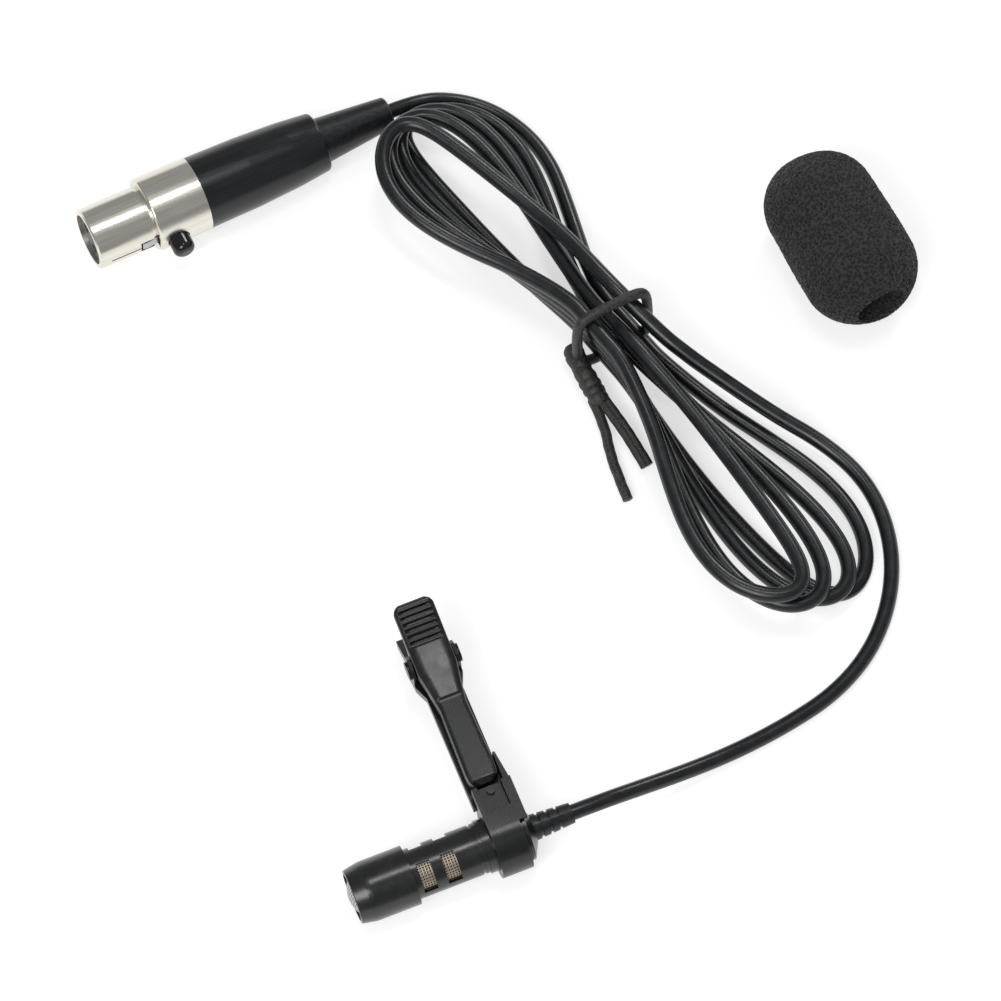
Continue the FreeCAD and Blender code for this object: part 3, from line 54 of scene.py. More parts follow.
def add(tree, kind, feeds, stops=(), **settings):
    """Adds a node with its settings. Each feed links a socket into an input, or sets it to a value."""
    item = tree.nodes.new("ShaderNode" + kind)
    for word, value in settings.items():
        setattr(item, word, value)
    for spare in range(len(stops) - 2):
        item.color_ramp.elements.new(0.5)
    for point, (at, code) in zip(item.color_ramp.elements if stops else (), stops):
        point.position = at
        point.color = linear(code)
    for name, value in feeds.items():
        if isinstance(value, bpy.types.NodeSocket):
            tree.links.new(value, item.inputs[name])
        else:
            item.inputs[name].default_value = value
    return item


def finish(name, code, roughness, **sockets):
    """A material of one colour and roughness, with its tree, its shader and the piece's own coordinates."""
    material = bpy.data.materials.new(name)
    material.use_nodes = True
    tree = material.node_tree
    shader = tree.nodes["Principled BSDF"]
    shader.inputs["Base Color"].default_value = linear(code)
    shader.inputs["Roughness"].default_value = roughness
    for word, value in sockets.items():
        shader.inputs[word.replace("_", " ")].default_value = value
    return material, tree, shader, add(tree, "TexCoord", {}).outputs["Object"]


def uneven(tree, shader, place, grain, shades, gloss, relief, stretch=(1, 1, 1), turn=(0, 0, 0)):
    """The unevenness of a made surface: one noise of the given grain in mm moves the colour between
    two shades and the roughness between two values, and lifts the surface by the relief in mm."""
    turned = add(tree, "Mapping", {"Vector": place, "Rotation": turn}).outputs["Vector"]
    spot = add(tree, "Mapping", {"Vector": turned, "Scale": stretch}).outputs["Vector"]
    noise = add(tree, "TexNoise", {"Vector": spot, "Scale": 1 / (grain * MM), "Detail": 4.0,
                                   "Roughness": 0.6}).outputs["Fac"]
    shade = add(tree, "ValToRGB", {"Fac": noise}, stops=[(0.36, shades[0]), (0.64, shades[1])])
    dull = add(tree, "MapRange", {"Value": noise, "From Min": 0.36, "From Max": 0.64,
                                  "To Min": gloss[0], "To Max": gloss[1]})
    lift = add(tree, "Bump", {"Height": noise, "Distance": relief * MM})
    tree.links.new(shade.outputs["Color"], shader.inputs["Base Color"])
    tree.links.new(dull.outputs["Result"], shader.inputs["Roughness"])
    tree.links.new(lift.outputs["Normal"], shader.inputs["Normal"])


def dress(material, *nodes):
    """Puts a material on CAD nodes."""
    for node in nodes:
        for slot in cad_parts[node].material_slots:
            slot.material = material


# Drawn aluminium: bright, with the fine lines of the drawing along the can
can_metal, tree, shader, place = finish("Drawn aluminium", "#c8c9cb", 0.3, Metallic=1.0)
uneven(tree, shader, place, 0.25, ("#bfc0c2", "#d2d3d4"), (0.26, 0.4), 0.004, stretch=(0.15, 1, 1))
dress(can_metal, "capsule_can")

# Metallised polyester film: nearly a mirror, faintly warm
film, tree, shader, place = finish("Metallised polyester film", "#cbc7b8", 0.18, Metallic=0.8)
uneven(tree, shader, place, 0.6, ("#c4bfae", "#d3cfc2"), (0.14, 0.24), 0.004)
dress(film, "capsule_diaphragm")

# Glass-epoxy board under green solder resist
board_resist, tree, shader, place = finish("Green solder resist on glass epoxy", "#1d5a34", 0.35)
uneven(tree, shader, place, 0.35, ("#174a2a", "#25683e"), (0.3, 0.42), 0.006)
dress(board_resist, "capsule_board")

# Gold flashed brass: warm, with the lathe's fine marks
contact_metal, tree, shader, place = finish("Gold flashed brass", "#c9a15a", 0.25, Metallic=1.0)
uneven(tree, shader, place, 0.3, ("#bd9550", "#d6b06a"), (0.2, 0.36), 0.004)
dress(contact_metal, "capsule_backplate", "socket_contacts")

# Black nitrile rubber: dull, with a fine moulded grain
rubber, tree, shader, place = finish("Black nitrile rubber", "#1b1c1e", 0.6)
uneven(tree, shader, place, 0.22, ("#161719", "#222426"), (0.5, 0.68), 0.012)
dress(rubber, "capsule_gasket")

# Head: a turned brass tube and its cap under a satin black lacquer, with two rows of three
# slots. A fine woven brass mesh lines the tube, and a domed steel one closes the cap's mouth.
HEAD_AT = np.array([-31.51, -37.1, 5.04]) * MM
HEAD_TILT = math.radians(2.43)
HEAD_TURN = (0, -HEAD_TILT, 0)
HEAD_AXES = np.array(Euler(HEAD_TURN).to_matrix())


def on_head(points):
    """Points in mm from the ring's middle, x along the head and y along the clip, put where it lies."""
    return np.asarray(points, float) * MM @ HEAD_AXES.T + HEAD_AT


# Satin lacquer: almost black, its orange peel drawn at 1.8 mm, with rubbed spots a little duller
lacquer, tree, shader, place = finish("Satin black lacquer on brass", "#0e0f10", 0.34, Coat_Weight=0.3,
                                      Coat_Roughness=0.2)
uneven(tree, shader, place, 1.8, ("#0a0b0c", "#111214"), (0.26, 0.33), 0.002)
dress(lacquer, "mic_body", "nose_cap", "tail_bush", "ring_rivet")


def woven(name, code, gap_shade_code, pitch, roughness, rolled):
    """Plain weave of round wires, flat or rolled to a radius: with p and q counted in wires, a wire's crown
    is |sin pi p| and |sin pi q|, and the higher one is on top. Painted shade darkens the wires' flanks, and
    the gap where both are low, as if shade fell there."""
    material, tree, shader, place = finish(name, code, roughness, Metallic=1.0)
    own = add(tree, "Mapping", {"Vector": place, "Location": tuple(HEAD_AT), "Rotation": HEAD_TURN},
              vector_type="TEXTURE").outputs["Vector"]
    axes = add(tree, "SeparateXYZ", {"Vector": own})
    if rolled:
        angle = add(tree, "Math", {0: axes.outputs["Y"], 1: axes.outputs["Z"]}, operation="ARCTAN2")
        wires_round = round(2 * math.pi * rolled / pitch)
        lines = ((axes.outputs["X"], math.pi / (pitch * MM)), (angle.outputs["Value"], wires_round / 2))
    else:
        lines = ((axes.outputs["Y"], math.pi / (pitch * MM)), (axes.outputs["Z"], math.pi / (pitch * MM)))
    crowns = []
    for along, waves in lines:
        phase = add(tree, "Math", {0: along, 1: waves}, operation="MULTIPLY").outputs["Value"]
        wave = add(tree, "Math", {0: phase}, operation="SINE").outputs["Value"]
        crowns.append(add(tree, "Math", {0: wave}, operation="ABSOLUTE").outputs["Value"])
    top = add(tree, "Math", {0: crowns[0], 1: crowns[1]}, operation="MAXIMUM").outputs["Value"]
    # Painted shade: the gaps and the wires' flanks go dark, and the crowns keep the wire's colour
    shade = add(tree, "ValToRGB", {"Fac": top}, stops=[(0.55, gap_shade_code), (0.8, code)])
    lift = add(tree, "Bump", {"Height": top, "Distance": 0.08 * MM})
    tree.links.new(shade.outputs["Color"], shader.inputs["Base Color"])
    tree.links.new(lift.outputs["Normal"], shader.inputs["Normal"])
    return material


# The real meshes have about six wires to the millimetre; both are drawn at 0.42 mm to show
dress(woven("Woven brass mesh", "#a3998a", "#14110e", 0.4, 0.45, 3.12), "side_mesh")
dress(woven("Woven stainless steel mesh", "#b9bab8", "#1b1b1c", 0.42, 0.34, 0), "front_grille")

# Tail of the head: the leads to the capsule, the crimp on the cord, and the black rubber
# strain relief, moulded with grooves and pushed into the bush from behind.
lead_skin, tree, shader, place = finish("Red PVC insulation", "#8a2418", 0.45)
uneven(tree, shader, place, 0.3, ("#7c1f14", "#982c1f"), (0.38, 0.52), 0.006)
dress(lead_skin, "capsule_leads", "conductor_wires")

# Spring steel and nickel silver: bright, with fine drawing marks
bright_steel, tree, shader, place = finish("Bright spring steel", "#b4b5b6", 0.28, Metallic=1.0)
uneven(tree, shader, place, 0.2, ("#a6a7a9", "#c0c1c2"), (0.22, 0.38), 0.005)
dress(bright_steel, "mic_cable_crimp", "torsion_spring", "cable_clamp", "latch_strip")

# Soft black PVC of the relief and the boot: semi-gloss, handled, slightly mottled
soft_pvc, tree, shader, place = finish("Soft black PVC", "#111215", 0.36)
uneven(tree, shader, place, 0.6, ("#0e0f11", "#16181b"), (0.28, 0.4), 0.004)
dress(soft_pvc, "mic_strain_relief", "plug_boot")


# Ring holder and lower jaw: satin black mouldings with softened edges. The holder turns on
# the collar, and a rivet through its recess holds the jaw with its row of teeth.
moulded, tree, shader, place = finish("Satin black acetal", "#0d0e0f", 0.28)
uneven(tree, shader, place, 2.2, ("#0b0c0d", "#111214"), (0.26, 0.31), 0.002)


def softened(node, edge, body, material):
    """The node's own mesh with its flat faces made whole and its sharp edges rounded by edge in mm."""
    piece = bpy.data.objects.new(node + "_moulding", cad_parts[node].data.copy())
    bpy.context.scene.collection.objects.link(piece)
    shape = bmesh.new()
    shape.from_mesh(piece.data)
    bmesh.ops.remove_doubles(shape, verts=shape.verts, dist=0.002 * MM)
    bmesh.ops.dissolve_limit(shape, angle_limit=math.radians(1.0), verts=shape.verts, edges=shape.edges)
    shape.to_mesh(piece.data)
    shape.free()
    if "custom_normal" in piece.data.attributes:
        piece.data.attributes.remove(piece.data.attributes["custom_normal"])
    piece.data.shade_smooth()
    piece.data.set_sharp_from_angle(angle=math.radians(35))
    piece.data.materials.clear()
    piece.data.materials.append(material)
    rounding = piece.modifiers.new("edges", "BEVEL")
    rounding.width = edge * MM
    rounding.segments = 3
    rounding.limit_method = "ANGLE"
    rounding.angle_limit = math.radians(35)
    rounding.harden_normals = True
    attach(piece, body)
    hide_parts(node)
    return piece


softened("ring_holder", 0.3, "clip", moulded)
softened("clip_base", 0.18, "clip", moulded)


# Lever: the upper jaw, a satin black moulding. A slim arm with a rounded tip widens to a
# flat pad over the pin, and the thumb end behind it rises in six ribs. It is hollow below.
def skin(name, grids, material, caps=True):
    """One mesh from grids of points (rows, columns, 3). Each row is a closed ring of the surface and
    each cell a quad, the ends are filled with one face, and rings that shrink to a point are merged."""
    points = []
    faces = []
    start = 0
    for grid in grids:
        rows, columns = grid.shape[:2]
        here = start + np.arange(rows * columns).reshape(rows, columns)
        beside = np.roll(here, -1, axis=1)
        faces += np.stack([here[:-1], beside[:-1], beside[1:], here[1:]], axis=-1).reshape(-1, 4).tolist()
        if caps:
            faces += [here[0, ::-1].tolist(), here[-1].tolist()]
        points.append(grid.reshape(-1, 3))
        start += rows * columns
    mesh = bpy.data.meshes.new(name)
    mesh.from_pydata(np.concatenate(points), [], faces)
    shape = bmesh.new()
    shape.from_mesh(mesh)
    bmesh.ops.remove_doubles(shape, verts=shape.verts, dist=0.0005 * MM)
    bmesh.ops.recalc_face_normals(shape, faces=shape.faces)
    shape.to_mesh(mesh)
    shape.free()
    mesh.shade_smooth()
    mesh.materials.append(material)
    piece = bpy.data.objects.new(name, mesh)
    bpy.context.scene.collection.objects.link(piece)
    return piece


def eased(places, corners, values, blur):
    """Straight runs between the corners, averaged over blur mm so that each corner is soft."""
    step = places[1] - places[0]
    half = max(1, int(blur / step / 2))
    wide = np.concatenate([places[0] - step * np.arange(half, 0, -1), places,
                           places[-1] + step * np.arange(1, half + 1)])
    level = np.interp(wide, corners, values)
    return np.convolve(level, np.ones(2 * half + 1) / (2 * half + 1), mode="valid")


LEVER_TIP, LEVER_END = 6.7, 34.0
PIVOT_Y, PIVOT_Z, CHEEK = 26.2, 3.6, 1.25
PAD_START, PAD_END, PAD_RISE, PAD_EDGE = 19.8, 28.0, 0.16, 0.25
THUMB_START, HOLLOW_START, HOLLOW_END, SKIN_THICK, WALL_THICK = 28.6, 21.0, 33.2, 1.15, 0.7
RIB_START, RIB_PITCH, RIB_DEPTH, RIB_SPAN, RIM_SHARE = 28.3, 0.86, 0.34, 5.6, 0.84
EDGE = 0.15
along = np.linspace(LEVER_TIP, LEVER_END, 420)
half_width = eased(along, [LEVER_TIP, 7.0, 7.6, 8.6, 18.6, 21.6, 24.4, 33.1, 33.8, LEVER_END],
                   [1.2, 1.75, 2.1, 2.2, 1.95, 2.35, 2.88, 2.9, 2.5, 2.2], 0.4)
top = eased(along, [LEVER_TIP, 7.3, 19.6, PAD_END, 33.6, LEVER_END], [4.6, 5.25, 5.5, 6.6, 7.95, 7.6], 0.35)
below = eased(along, [LEVER_TIP, 15.0, 18.6, 21.8, 24.9], [2.6, 2.6, 2.9, PIVOT_Z, PIVOT_Z], 0.3)
cheek = PIVOT_Z - np.sqrt(np.clip(CHEEK ** 2 - (along - PIVOT_Y) ** 2, 0, None))
behind_cheek = np.interp(along, [PIVOT_Y + CHEEK, THUMB_START], [PIVOT_Z, 5.4])
thumb_skin = eased(along, [THUMB_START, LEVER_END], [5.4, 6.75], 0.2)
underside = np.where(along < PIVOT_Y - CHEEK, below, np.where(along < PIVOT_Y + CHEEK, cheek, 0))
underside = np.where(along > PIVOT_Y + CHEEK, behind_cheek, underside)
underside = np.where(along > THUMB_START, thumb_skin, underside)
hollow = (along > HOLLOW_START) & (along < HOLLOW_END)
roof = np.where(hollow, np.maximum(underside, top - SKIN_THICK), underside)
# Six raised ribs, each with a rounded crown, with grooves 0.34 mm deep between them
rib_phase = (along - RIB_START) / RIB_PITCH
groove = RIB_DEPTH * np.clip(np.cos(2 * np.pi * (rib_phase - 0.23)) * 1.6 + 0.1, 0, 1)
groove = np.where((rib_phase > 0) & (rib_phase < RIB_SPAN), groove, 0)
# The closed outline across the arm: x = side * half width + inset, and z from top, underside or roof
corner = np.linspace(0, np.pi / 2, 7)
CORNER = 0.6
FLAT = np.array([0.82, 0.78, 0.74, 0.5, 0.25, 0.0, -0.25, -0.5, -0.74, -0.78, -0.82])
side = np.concatenate([[1, 1], np.ones(7), FLAT, -np.ones(7), [-1, -1], [-1, -1, 1, 1]])
inset = np.concatenate([[-EDGE, 0], CORNER * (np.cos(corner) - 1), np.zeros(len(FLAT)),
                        CORNER * (1 - np.cos(corner[::-1])), [0, EDGE],
                        WALL_THICK * np.array([1, 1, -1, -1])])
of_top = np.concatenate([[0, 0], np.ones(25), [0, 0], [0, 0, 0, 0]])
of_roof = np.concatenate([np.zeros(29), [0, 1, 1, 0]])
drop = np.concatenate([[0, EDGE], CORNER * (np.sin(corner) - 1), np.zeros(len(FLAT)),
                       CORNER * (np.sin(corner[::-1]) - 1), [EDGE, 0], np.zeros(4)])
# The ribs stop at a plain rim on each side, and the pad before them stands a little proud
inner = np.concatenate([np.zeros(9), np.clip((RIM_SHARE - np.abs(FLAT)) / 0.08, 0, 1), np.zeros(13)])
pad = PAD_RISE * np.clip((along - PAD_START) / PAD_EDGE, 0, 1) * np.clip((PAD_END - along) / PAD_EDGE, 0, 1)
across = half_width[:, None] * side + inset
height = (of_top * (top[:, None] + inner * (pad - groove)[:, None]) + of_roof * roof[:, None]
          + (1 - of_top - of_roof) * underside[:, None] + drop)
lever_grid = on_head(np.stack([across, np.broadcast_to(along[:, None], across.shape), height], axis=-1))
lever = skin("lever_moulding", [lever_grid], moulded)
lever.data.set_sharp_from_angle(angle=math.radians(50))
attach(lever, "lever")
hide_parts("clip_lever")

# Pivot pin: a steel pin with flat heads, blackened so that only its worn rim shines
black_steel, tree, shader, place = finish("Blackened steel", "#2a2b2d", 0.35, Metallic=0.9)
uneven(tree, shader, place, 0.25, ("#232426", "#3a3b3d"), (0.28, 0.44), 0.006)
dress(black_steel, "pivot_pin")

# Plug: a turned brass shell under satin nickel, which carries the moulded insert with three
# contacts, and a hook on a spring strip that the round button lets go.
PLUG_AT = np.array([-52.9, 68.4, 5.93]) * MM
PLUG_TURN = (math.radians(92), math.radians(1.64), math.radians(5.2))
PLUG_AXES = np.array(Euler(PLUG_TURN).to_matrix())


def on_plug(points):
    """Points in mm from the plug's front face, x along it and z towards its latch, put where it lies."""
    return np.asarray(points, float) * MM @ PLUG_AXES.T + PLUG_AT


# Satin nickel plate: warm silver, with faint streaks of wear along the barrel
nickel, tree, shader, place = finish("Satin nickel plate", "#e0dbd0", 0.25, Metallic=1.0)
uneven(tree, shader, place, 0.8, ("#dad5c9", "#e6e2d8"), (0.22, 0.28), 0.0004, stretch=(0.05, 1, 1),
       turn=(0, 0, -PLUG_TURN[2]))
dress(nickel, "plug_shell")

# Black glass-filled moulding of the insert
insert_plastic, tree, shader, place = finish("Black moulded nylon", "#4a4b4e", 0.45)
uneven(tree, shader, place, 0.3, ("#434447", "#525356"), (0.4, 0.55), 0.008)
dress(insert_plastic, "contact_insert")

# Polished black button
button_plastic, tree, shader, place = finish("Polished black ABS", "#0f1012", 0.12)
uneven(tree, shader, place, 0.5, ("#0d0e10", "#141517"), (0.08, 0.16), 0.003)
dress(button_plastic, "latch_button")

# Sleeve and boot: a semi-gloss blue-black sleeve screwed into the shell, with the scuffs of
# its moulding and handling along it, and a soft boot pushed through from inside.
sleeve_plastic, tree, shader, place = finish("Semi-gloss black ABS", "#0f1114", 0.26)
uneven(tree, shader, place, 1.0, ("#0b0d10", "#15181c"), (0.22, 0.32), 0.003, stretch=(0.05, 1, 1),
       turn=(0, 0, -PLUG_TURN[2]))
dress(sleeve_plastic, "plug_sleeve")

# Cord: one limp black PVC cord 2.2 mm across. It leaves the head, is wound in four turns of
# a figure of eight, is tied at the waist and ends in the plug.
CORD_RADIUS = 1.1
TURNS = 4
HEADING = math.radians(-73.5)
WAIST = (9.2, 27.0)
WAIST_HALF = 6.0
PITCH = 2 * CORD_RADIUS + 0.55
LOBES = {
    # reach, width, swing in degrees and skew of each turn
    "near": ((43.5, 43.5, 43.0, 41.5), (19.5, 18.0, 18.5, 16.5), (6, 2, -4, -7), (0.3, -0.05, -0.2, -0.5)),
    "far": ((39.5, 38.5, 37.5, 36.5), (19.5, 19.5, 19.0, 17.0), (-1.5, 0, 4, 8), (-0.5, -0.1, 0.1, 0.45)),
}


def soft_step(share):
    share = np.clip(share, 0, 1)
    return share * share * (3 - 2 * share)


def at_waist(points):
    """Points with u along the waist, v across it and z up, in mm, put where the hank lies."""
    u, v, z = np.asarray(points, float).T
    return np.stack([WAIST[0] + u * math.cos(HEADING) - v * math.sin(HEADING),
                     WAIST[1] + u * math.sin(HEADING) + v * math.cos(HEADING), z], axis=-1) * MM


def on_hank(points):
    """The same, lifted by 1.8 mm at the waist so that the tie passes below."""
    u, v, z = np.asarray(points, float).T
    return at_waist(np.stack([u, v, z + 1.8 * soft_step(1 - (np.abs(u) - WAIST_HALF) / 15.0)], axis=-1))


def level(number):
    return CORD_RADIUS + 0.05 + PITCH * (number - 1)


def column(side_of_waist, number):
    return side_of_waist * 1.4 - 0.4 * (number - (TURNS + 1) / 2)


def lobe(which, number, t, v_in, v_out):
    """A loop out from the waist and back: with t from 1 to -1 it reaches out as 1 - t^2 and widens as
    t (1 - t^2)^1.5, then is swung about the waist and skewed to one side."""
    reach, width, swing, skew = [row[number - 1] for row in LOBES[which]]
    out = 1 - t * t
    over = width * t * out ** 1.5 * (1 + 2 * skew * t * np.sqrt(out))
    angle = np.radians(swing) * out * (2 - out)
    u = WAIST_HALF + reach * out * np.cos(angle) - over * np.sin(angle)
    v = reach * out * np.sin(angle) + over * np.cos(angle)
    away = 1 if which == "near" else -1
    shift = np.where(t > 0, v_in, v_out) * (1 - soft_step(out))
    lift = 2.7 * soft_step(out) if which == "far" else 0 * out
    return on_hank(np.stack([away * u, away * v + shift, level(number) + lift], axis=-1))


def across_waist(towards, from_v, to_v, from_z, to_z):
    share = np.array([0, 1 / 3, 2 / 3])
    step = soft_step(share)
    return on_hank(np.stack([towards * WAIST_HALF * (2 * share - 1), from_v + (to_v - from_v) * step,
                             from_z + (to_z - from_z) * step], axis=-1))


t = 1 - 2 * np.arange(16) / 16
runs = [on_hank([(-14.1, 7.0, level(1)), (-12.0, 6.3, level(1)), (-9.0, 5.3, level(1))])]
v_before, z_before = 4.8, level(1)
for number in range(1, TURNS + 1):
    v_near = v_before if number == 1 else column(1, number)
    v_far = 4.0 if number == TURNS else column(1, number)
    runs.append(across_waist(1, v_before, v_near, z_before, level(number)))
    runs.append(lobe("near", number, t, v_near, column(-1, number)))
    runs.append(across_waist(-1, column(-1, number), column(-1, number), level(number), level(number)))
    runs.append(lobe("far", number, t, column(-1, number), v_far))
    v_before, z_before = v_far, level(number)
runs.append(on_hank([(-6.0, 4.0, level(TURNS)), (0.0, 4.6, 8.6), (6.0, 5.6, 7.0), (9.0, 6.6, 6.2),
                     (11.0, 7.3, 5.7)]))
hank = np.concatenate(runs)

# The head's tail lies in one long bend to the right, and the plug's runs in under the hank
head_tail = np.concatenate([on_head([(8, 0, 0), (14, 0, 0)]), np.array([
    (-11.0, -36.7, 4.2), (-3.8, -36.1, 2.3), (3.6, -35.4, 1.3), (11.3, -34.3, 1.2), (18.4, -32.6, 1.2),
    (24.9, -29.2, 1.2), (30.2, -24.0, 1.2), (33.9, -17.6, 1.2), (35.6, -10.6, 1.2), (35.1, -3.6, 1.3),
    (31.9, 2.9, 2.0), (26.8, 8.7, 3.6)]) * MM])
plug_tail = np.concatenate([on_plug([(46, 0, 0), (51.5, 0, 0)]), np.array([
    (4.3, 72.4, 1.9), (8.9, 68.9, 1.2), (11.9, 63.6, 1.2), (13.1, 58.3, 1.2), (13.0, 52.9, 1.2)]) * MM])


def line_of(name, points):
    """A curve of one smooth NURBS spline with these control points."""
    curve = bpy.data.curves.new(name, "CURVE")
    curve.dimensions = "3D"
    spline = curve.splines.new("NURBS")
    spline.points.add(len(points) - 1)
    spline.points.foreach_set("co", np.column_stack([points, np.ones(len(points))]).ravel())
    spline.order_u = 3
    spline.use_endpoint_u = True
    spline.resolution_u = 8
    piece = bpy.data.objects.new(name, curve)
    bpy.context.scene.collection.objects.link(piece)
    return piece


cord = line_of("cord", np.concatenate([head_tail, hank[::-1], plug_tail[::-1]]))
cord.data.bevel_depth = CORD_RADIUS * MM
cord.data.bevel_resolution = 6
cord.data.use_fill_caps = True

# Extruded PVC jacket: semi-gloss black, slightly wavy from the extruder, with dull patches
jacket, tree, shader, place = finish("Extruded black PVC jacket", "#121417", 0.27)
uneven(tree, shader, place, 1.6, ("#0f1113", "#17191c"), (0.26, 0.34), 0.004)
cord.data.materials.append(jacket)
dress(jacket, "mic_cable_end", "plug_cable_end")
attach(cord, "microphone")
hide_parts("cord_hank", "cord_mic_tail", "cord_plug_tail")


# Wire tie: one stiff wire in a dull black coating. It goes round the waist of the hank once,
# is wound on itself beside it, and its two ends lie loose. One of them is doubled and cut flat.
def points_of(route):
    """Points on the smooth spline of a route."""
    curve = line_of("route", route)
    line = bpy.data.meshes.new_from_object(curve)
    points = np.empty(3 * len(line.vertices))
    line.vertices.foreach_get("co", points)
    bpy.data.objects.remove(curve)
    return points.reshape(-1, 3)


def tube(path, radius, fixed):
    """A round profile carried along a path. At each point the profile's axes are the cross product of
    the path's direction with a fixed direction, and the cross product of that with the path's."""
    ahead = np.gradient(path, axis=0)
    ahead /= np.linalg.norm(ahead, axis=1)[:, None]
    first = np.cross(ahead, fixed)
    first /= np.linalg.norm(first, axis=1)[:, None]
    second = np.cross(ahead, first)
    turn = np.linspace(0, 2 * np.pi, 20, endpoint=False)
    spread = radius(np.linspace(0, 1, len(path))[:, None], turn[None, :])[..., None] * MM
    return (path[:, None, :] + spread * (np.cos(turn)[None, :, None] * first[:, None, :]
                                         + np.sin(turn)[None, :, None] * second[:, None, :]))


def resampled(path, count):
    """The same line with count points at equal steps of its length."""
    length = np.concatenate([[0], np.cumsum(np.linalg.norm(np.diff(path, axis=0), axis=1))])
    even = np.linspace(0, length[-1], count)
    return np.stack([np.interp(even, length, path[:, i]) for i in range(3)], axis=-1)


def crumpled(share, turn):
    """A coated wire's radius: 0.75 mm with shallow dents from bending."""
    return 0.75 + 0.02 * np.sin(31 * share + turn) + 0.015 * np.sin(57 * share - 2 * turn)


def wound(share, turn):
    """A coating twisted on itself: six creased turns run round and along, uneven, between tapered ends."""
    ridge = np.abs(np.sin(np.pi * (6 * share + 0.3 * np.sin(9 * share)) + turn / 2)) ** 0.35
    dents = 0.05 * np.sin(11 * share + 2 * turn) + 0.02 * np.sin(47 * share - 3 * turn)
    return (1.28 + 0.22 * ridge + dents) * (1 - 0.3 * (2 * share - 1) ** 8)


def doubled(share, turn):
    """Two wires side by side, cut off flat: the section's radius is 0.55 + 0.42 |cos(turn)|."""
    return 0.55 + 0.42 * np.abs(np.cos(turn)) + 0.015 * np.sin(40 * share + turn)


UPWARDS = np.array([0.0, 0.0, 1.0])
ALONG_WAIST = np.array([math.cos(HEADING), math.sin(HEADING), 0.0])
tie_ring = points_of(at_waist([
    (-1.1, -4.3, 3.2), (-1.3, -4.4, 8.0), (-1.5, -4.1, 12.0), (-1.5, -2.9, 13.4), (-0.8, 1.3, 13.5),
    (-0.2, 5.4, 13.3), (0.1, 6.7, 12.0), (0.4, 6.9, 7.0), (0.6, 6.9, 2.1), (0.4, 5.7, 0.82),
    (-0.2, 1.5, 0.82), (-0.8, -2.6, 0.82), (-1.0, -4.3, 2.5)]))
tie_wrap = points_of(at_waist([(-3.3, -3.8, 3.0), (0.5, -4.8, 3.0), (4.1, -5.4, 2.5), (6.3, -5.6, 2.3)]))
tie_fold = points_of(at_waist([(4.6, -5.2, 2.6), (10.6, -5.6, 2.4), (15.0, -6.2, 1.9), (17.2, -6.5, 1.6)]))
tie_end = points_of(at_waist([(4.6, -6.2, 1.9), (8.5, -7.2, 1.7), (12.5, -9.3, 1.2), (16.2, -10.6, 0.9),
                              (19.3, -11.6, 0.8)]))

# Dull black coating, creased where the wire was bent
coating, tree, shader, place = finish("Dull black vinyl coating", "#222221", 0.5)
uneven(tree, shader, place, 0.35, ("#181818", "#3d3d3a"), (0.42, 0.62), 0.05)
tie = skin("wire_tie_wire", [tube(resampled(tie_ring, 120), crumpled, ALONG_WAIST),
                             tube(resampled(tie_wrap, 90), wound, UPWARDS),
                             tube(resampled(tie_fold, 60), doubled, UPWARDS),
                             tube(resampled(tie_end, 60), crumpled, UPWARDS)], coating)
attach(tie, "microphone")
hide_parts("wire_tie")

# Windscreen: a ground plug of open-cell polyether foam, dyed black, with a bore that
# stretches over the head. Cell walls stand at the surface and the cells open between them.
FOAM_AT = np.array([45.15, 28.6, 8.4])
FOAM_YAW = math.radians(-84.6)
FOAM_RADIUS, FOAM_HALF, FOAM_ROUND = 8.35, 12.95, 7.1
BORE_RADIUS, BORE_DEPTH, BORE_LIP = 3.4, 20.0, 0.5
CELL = 0.62


def foam_profile(count):
    """Half outline from the closed end's pole round the outside, over the lip and down the bore."""
    arc = np.linspace(0, np.pi / 2, 40)
    meet = math.acos((BORE_RADIUS + BORE_LIP - FOAM_RADIUS + FOAM_ROUND) / (FOAM_ROUND - BORE_LIP))
    shoulder = np.linspace(0, meet, 30)
    lip = np.linspace(np.pi / 2 - meet, -np.pi / 2, 16)
    lip_x = FOAM_HALF - FOAM_ROUND + (FOAM_ROUND - BORE_LIP) * math.sin(meet)
    x = np.concatenate([[-FOAM_HALF], -FOAM_HALF + FOAM_ROUND * (1 - np.cos(arc)),
                        FOAM_HALF - FOAM_ROUND * (1 - np.sin(shoulder)), lip_x + BORE_LIP * np.cos(lip),
                        [FOAM_HALF - BORE_DEPTH] * 2])
    r = np.concatenate([[0], FOAM_RADIUS - FOAM_ROUND * (1 - np.sin(arc)),
                        FOAM_RADIUS - FOAM_ROUND * (1 - np.cos(shoulder)),
                        BORE_RADIUS + BORE_LIP * (1 + np.sin(lip)), [BORE_RADIUS, 0]])
    line = resampled(np.stack([x, r, 0 * x], axis=-1), count)
    return line[:, 0], line[:, 1]


def cell_depth(points):
    """How far a point lies inside a cell: 1 at the nearest of the jittered cell centres, 0 on the walls."""
    rng = np.random.default_rng(5)
    low = points.reshape(-1, 3).min(0) - 2 * CELL
    home = np.floor((points - low) / CELL).astype(int)
    jitter = rng.uniform(0.1, 0.9, tuple(home.reshape(-1, 3).max(0) + 2) + (3,))
    nearest = np.full(points.shape[:-1], 9.0)
    second = np.full(points.shape[:-1], 9.0)
    for way in itertools.product((-1, 0, 1), repeat=3):
        cell = home + way
        centre = low + (cell + jitter[cell[..., 0], cell[..., 1], cell[..., 2]]) * CELL
        away = np.linalg.norm(points - centre, axis=-1)
        second = np.minimum(second, np.maximum(nearest, away))
        nearest = np.minimum(nearest, away)
    return np.clip((second - nearest) / (0.5 * CELL), 0, 1)


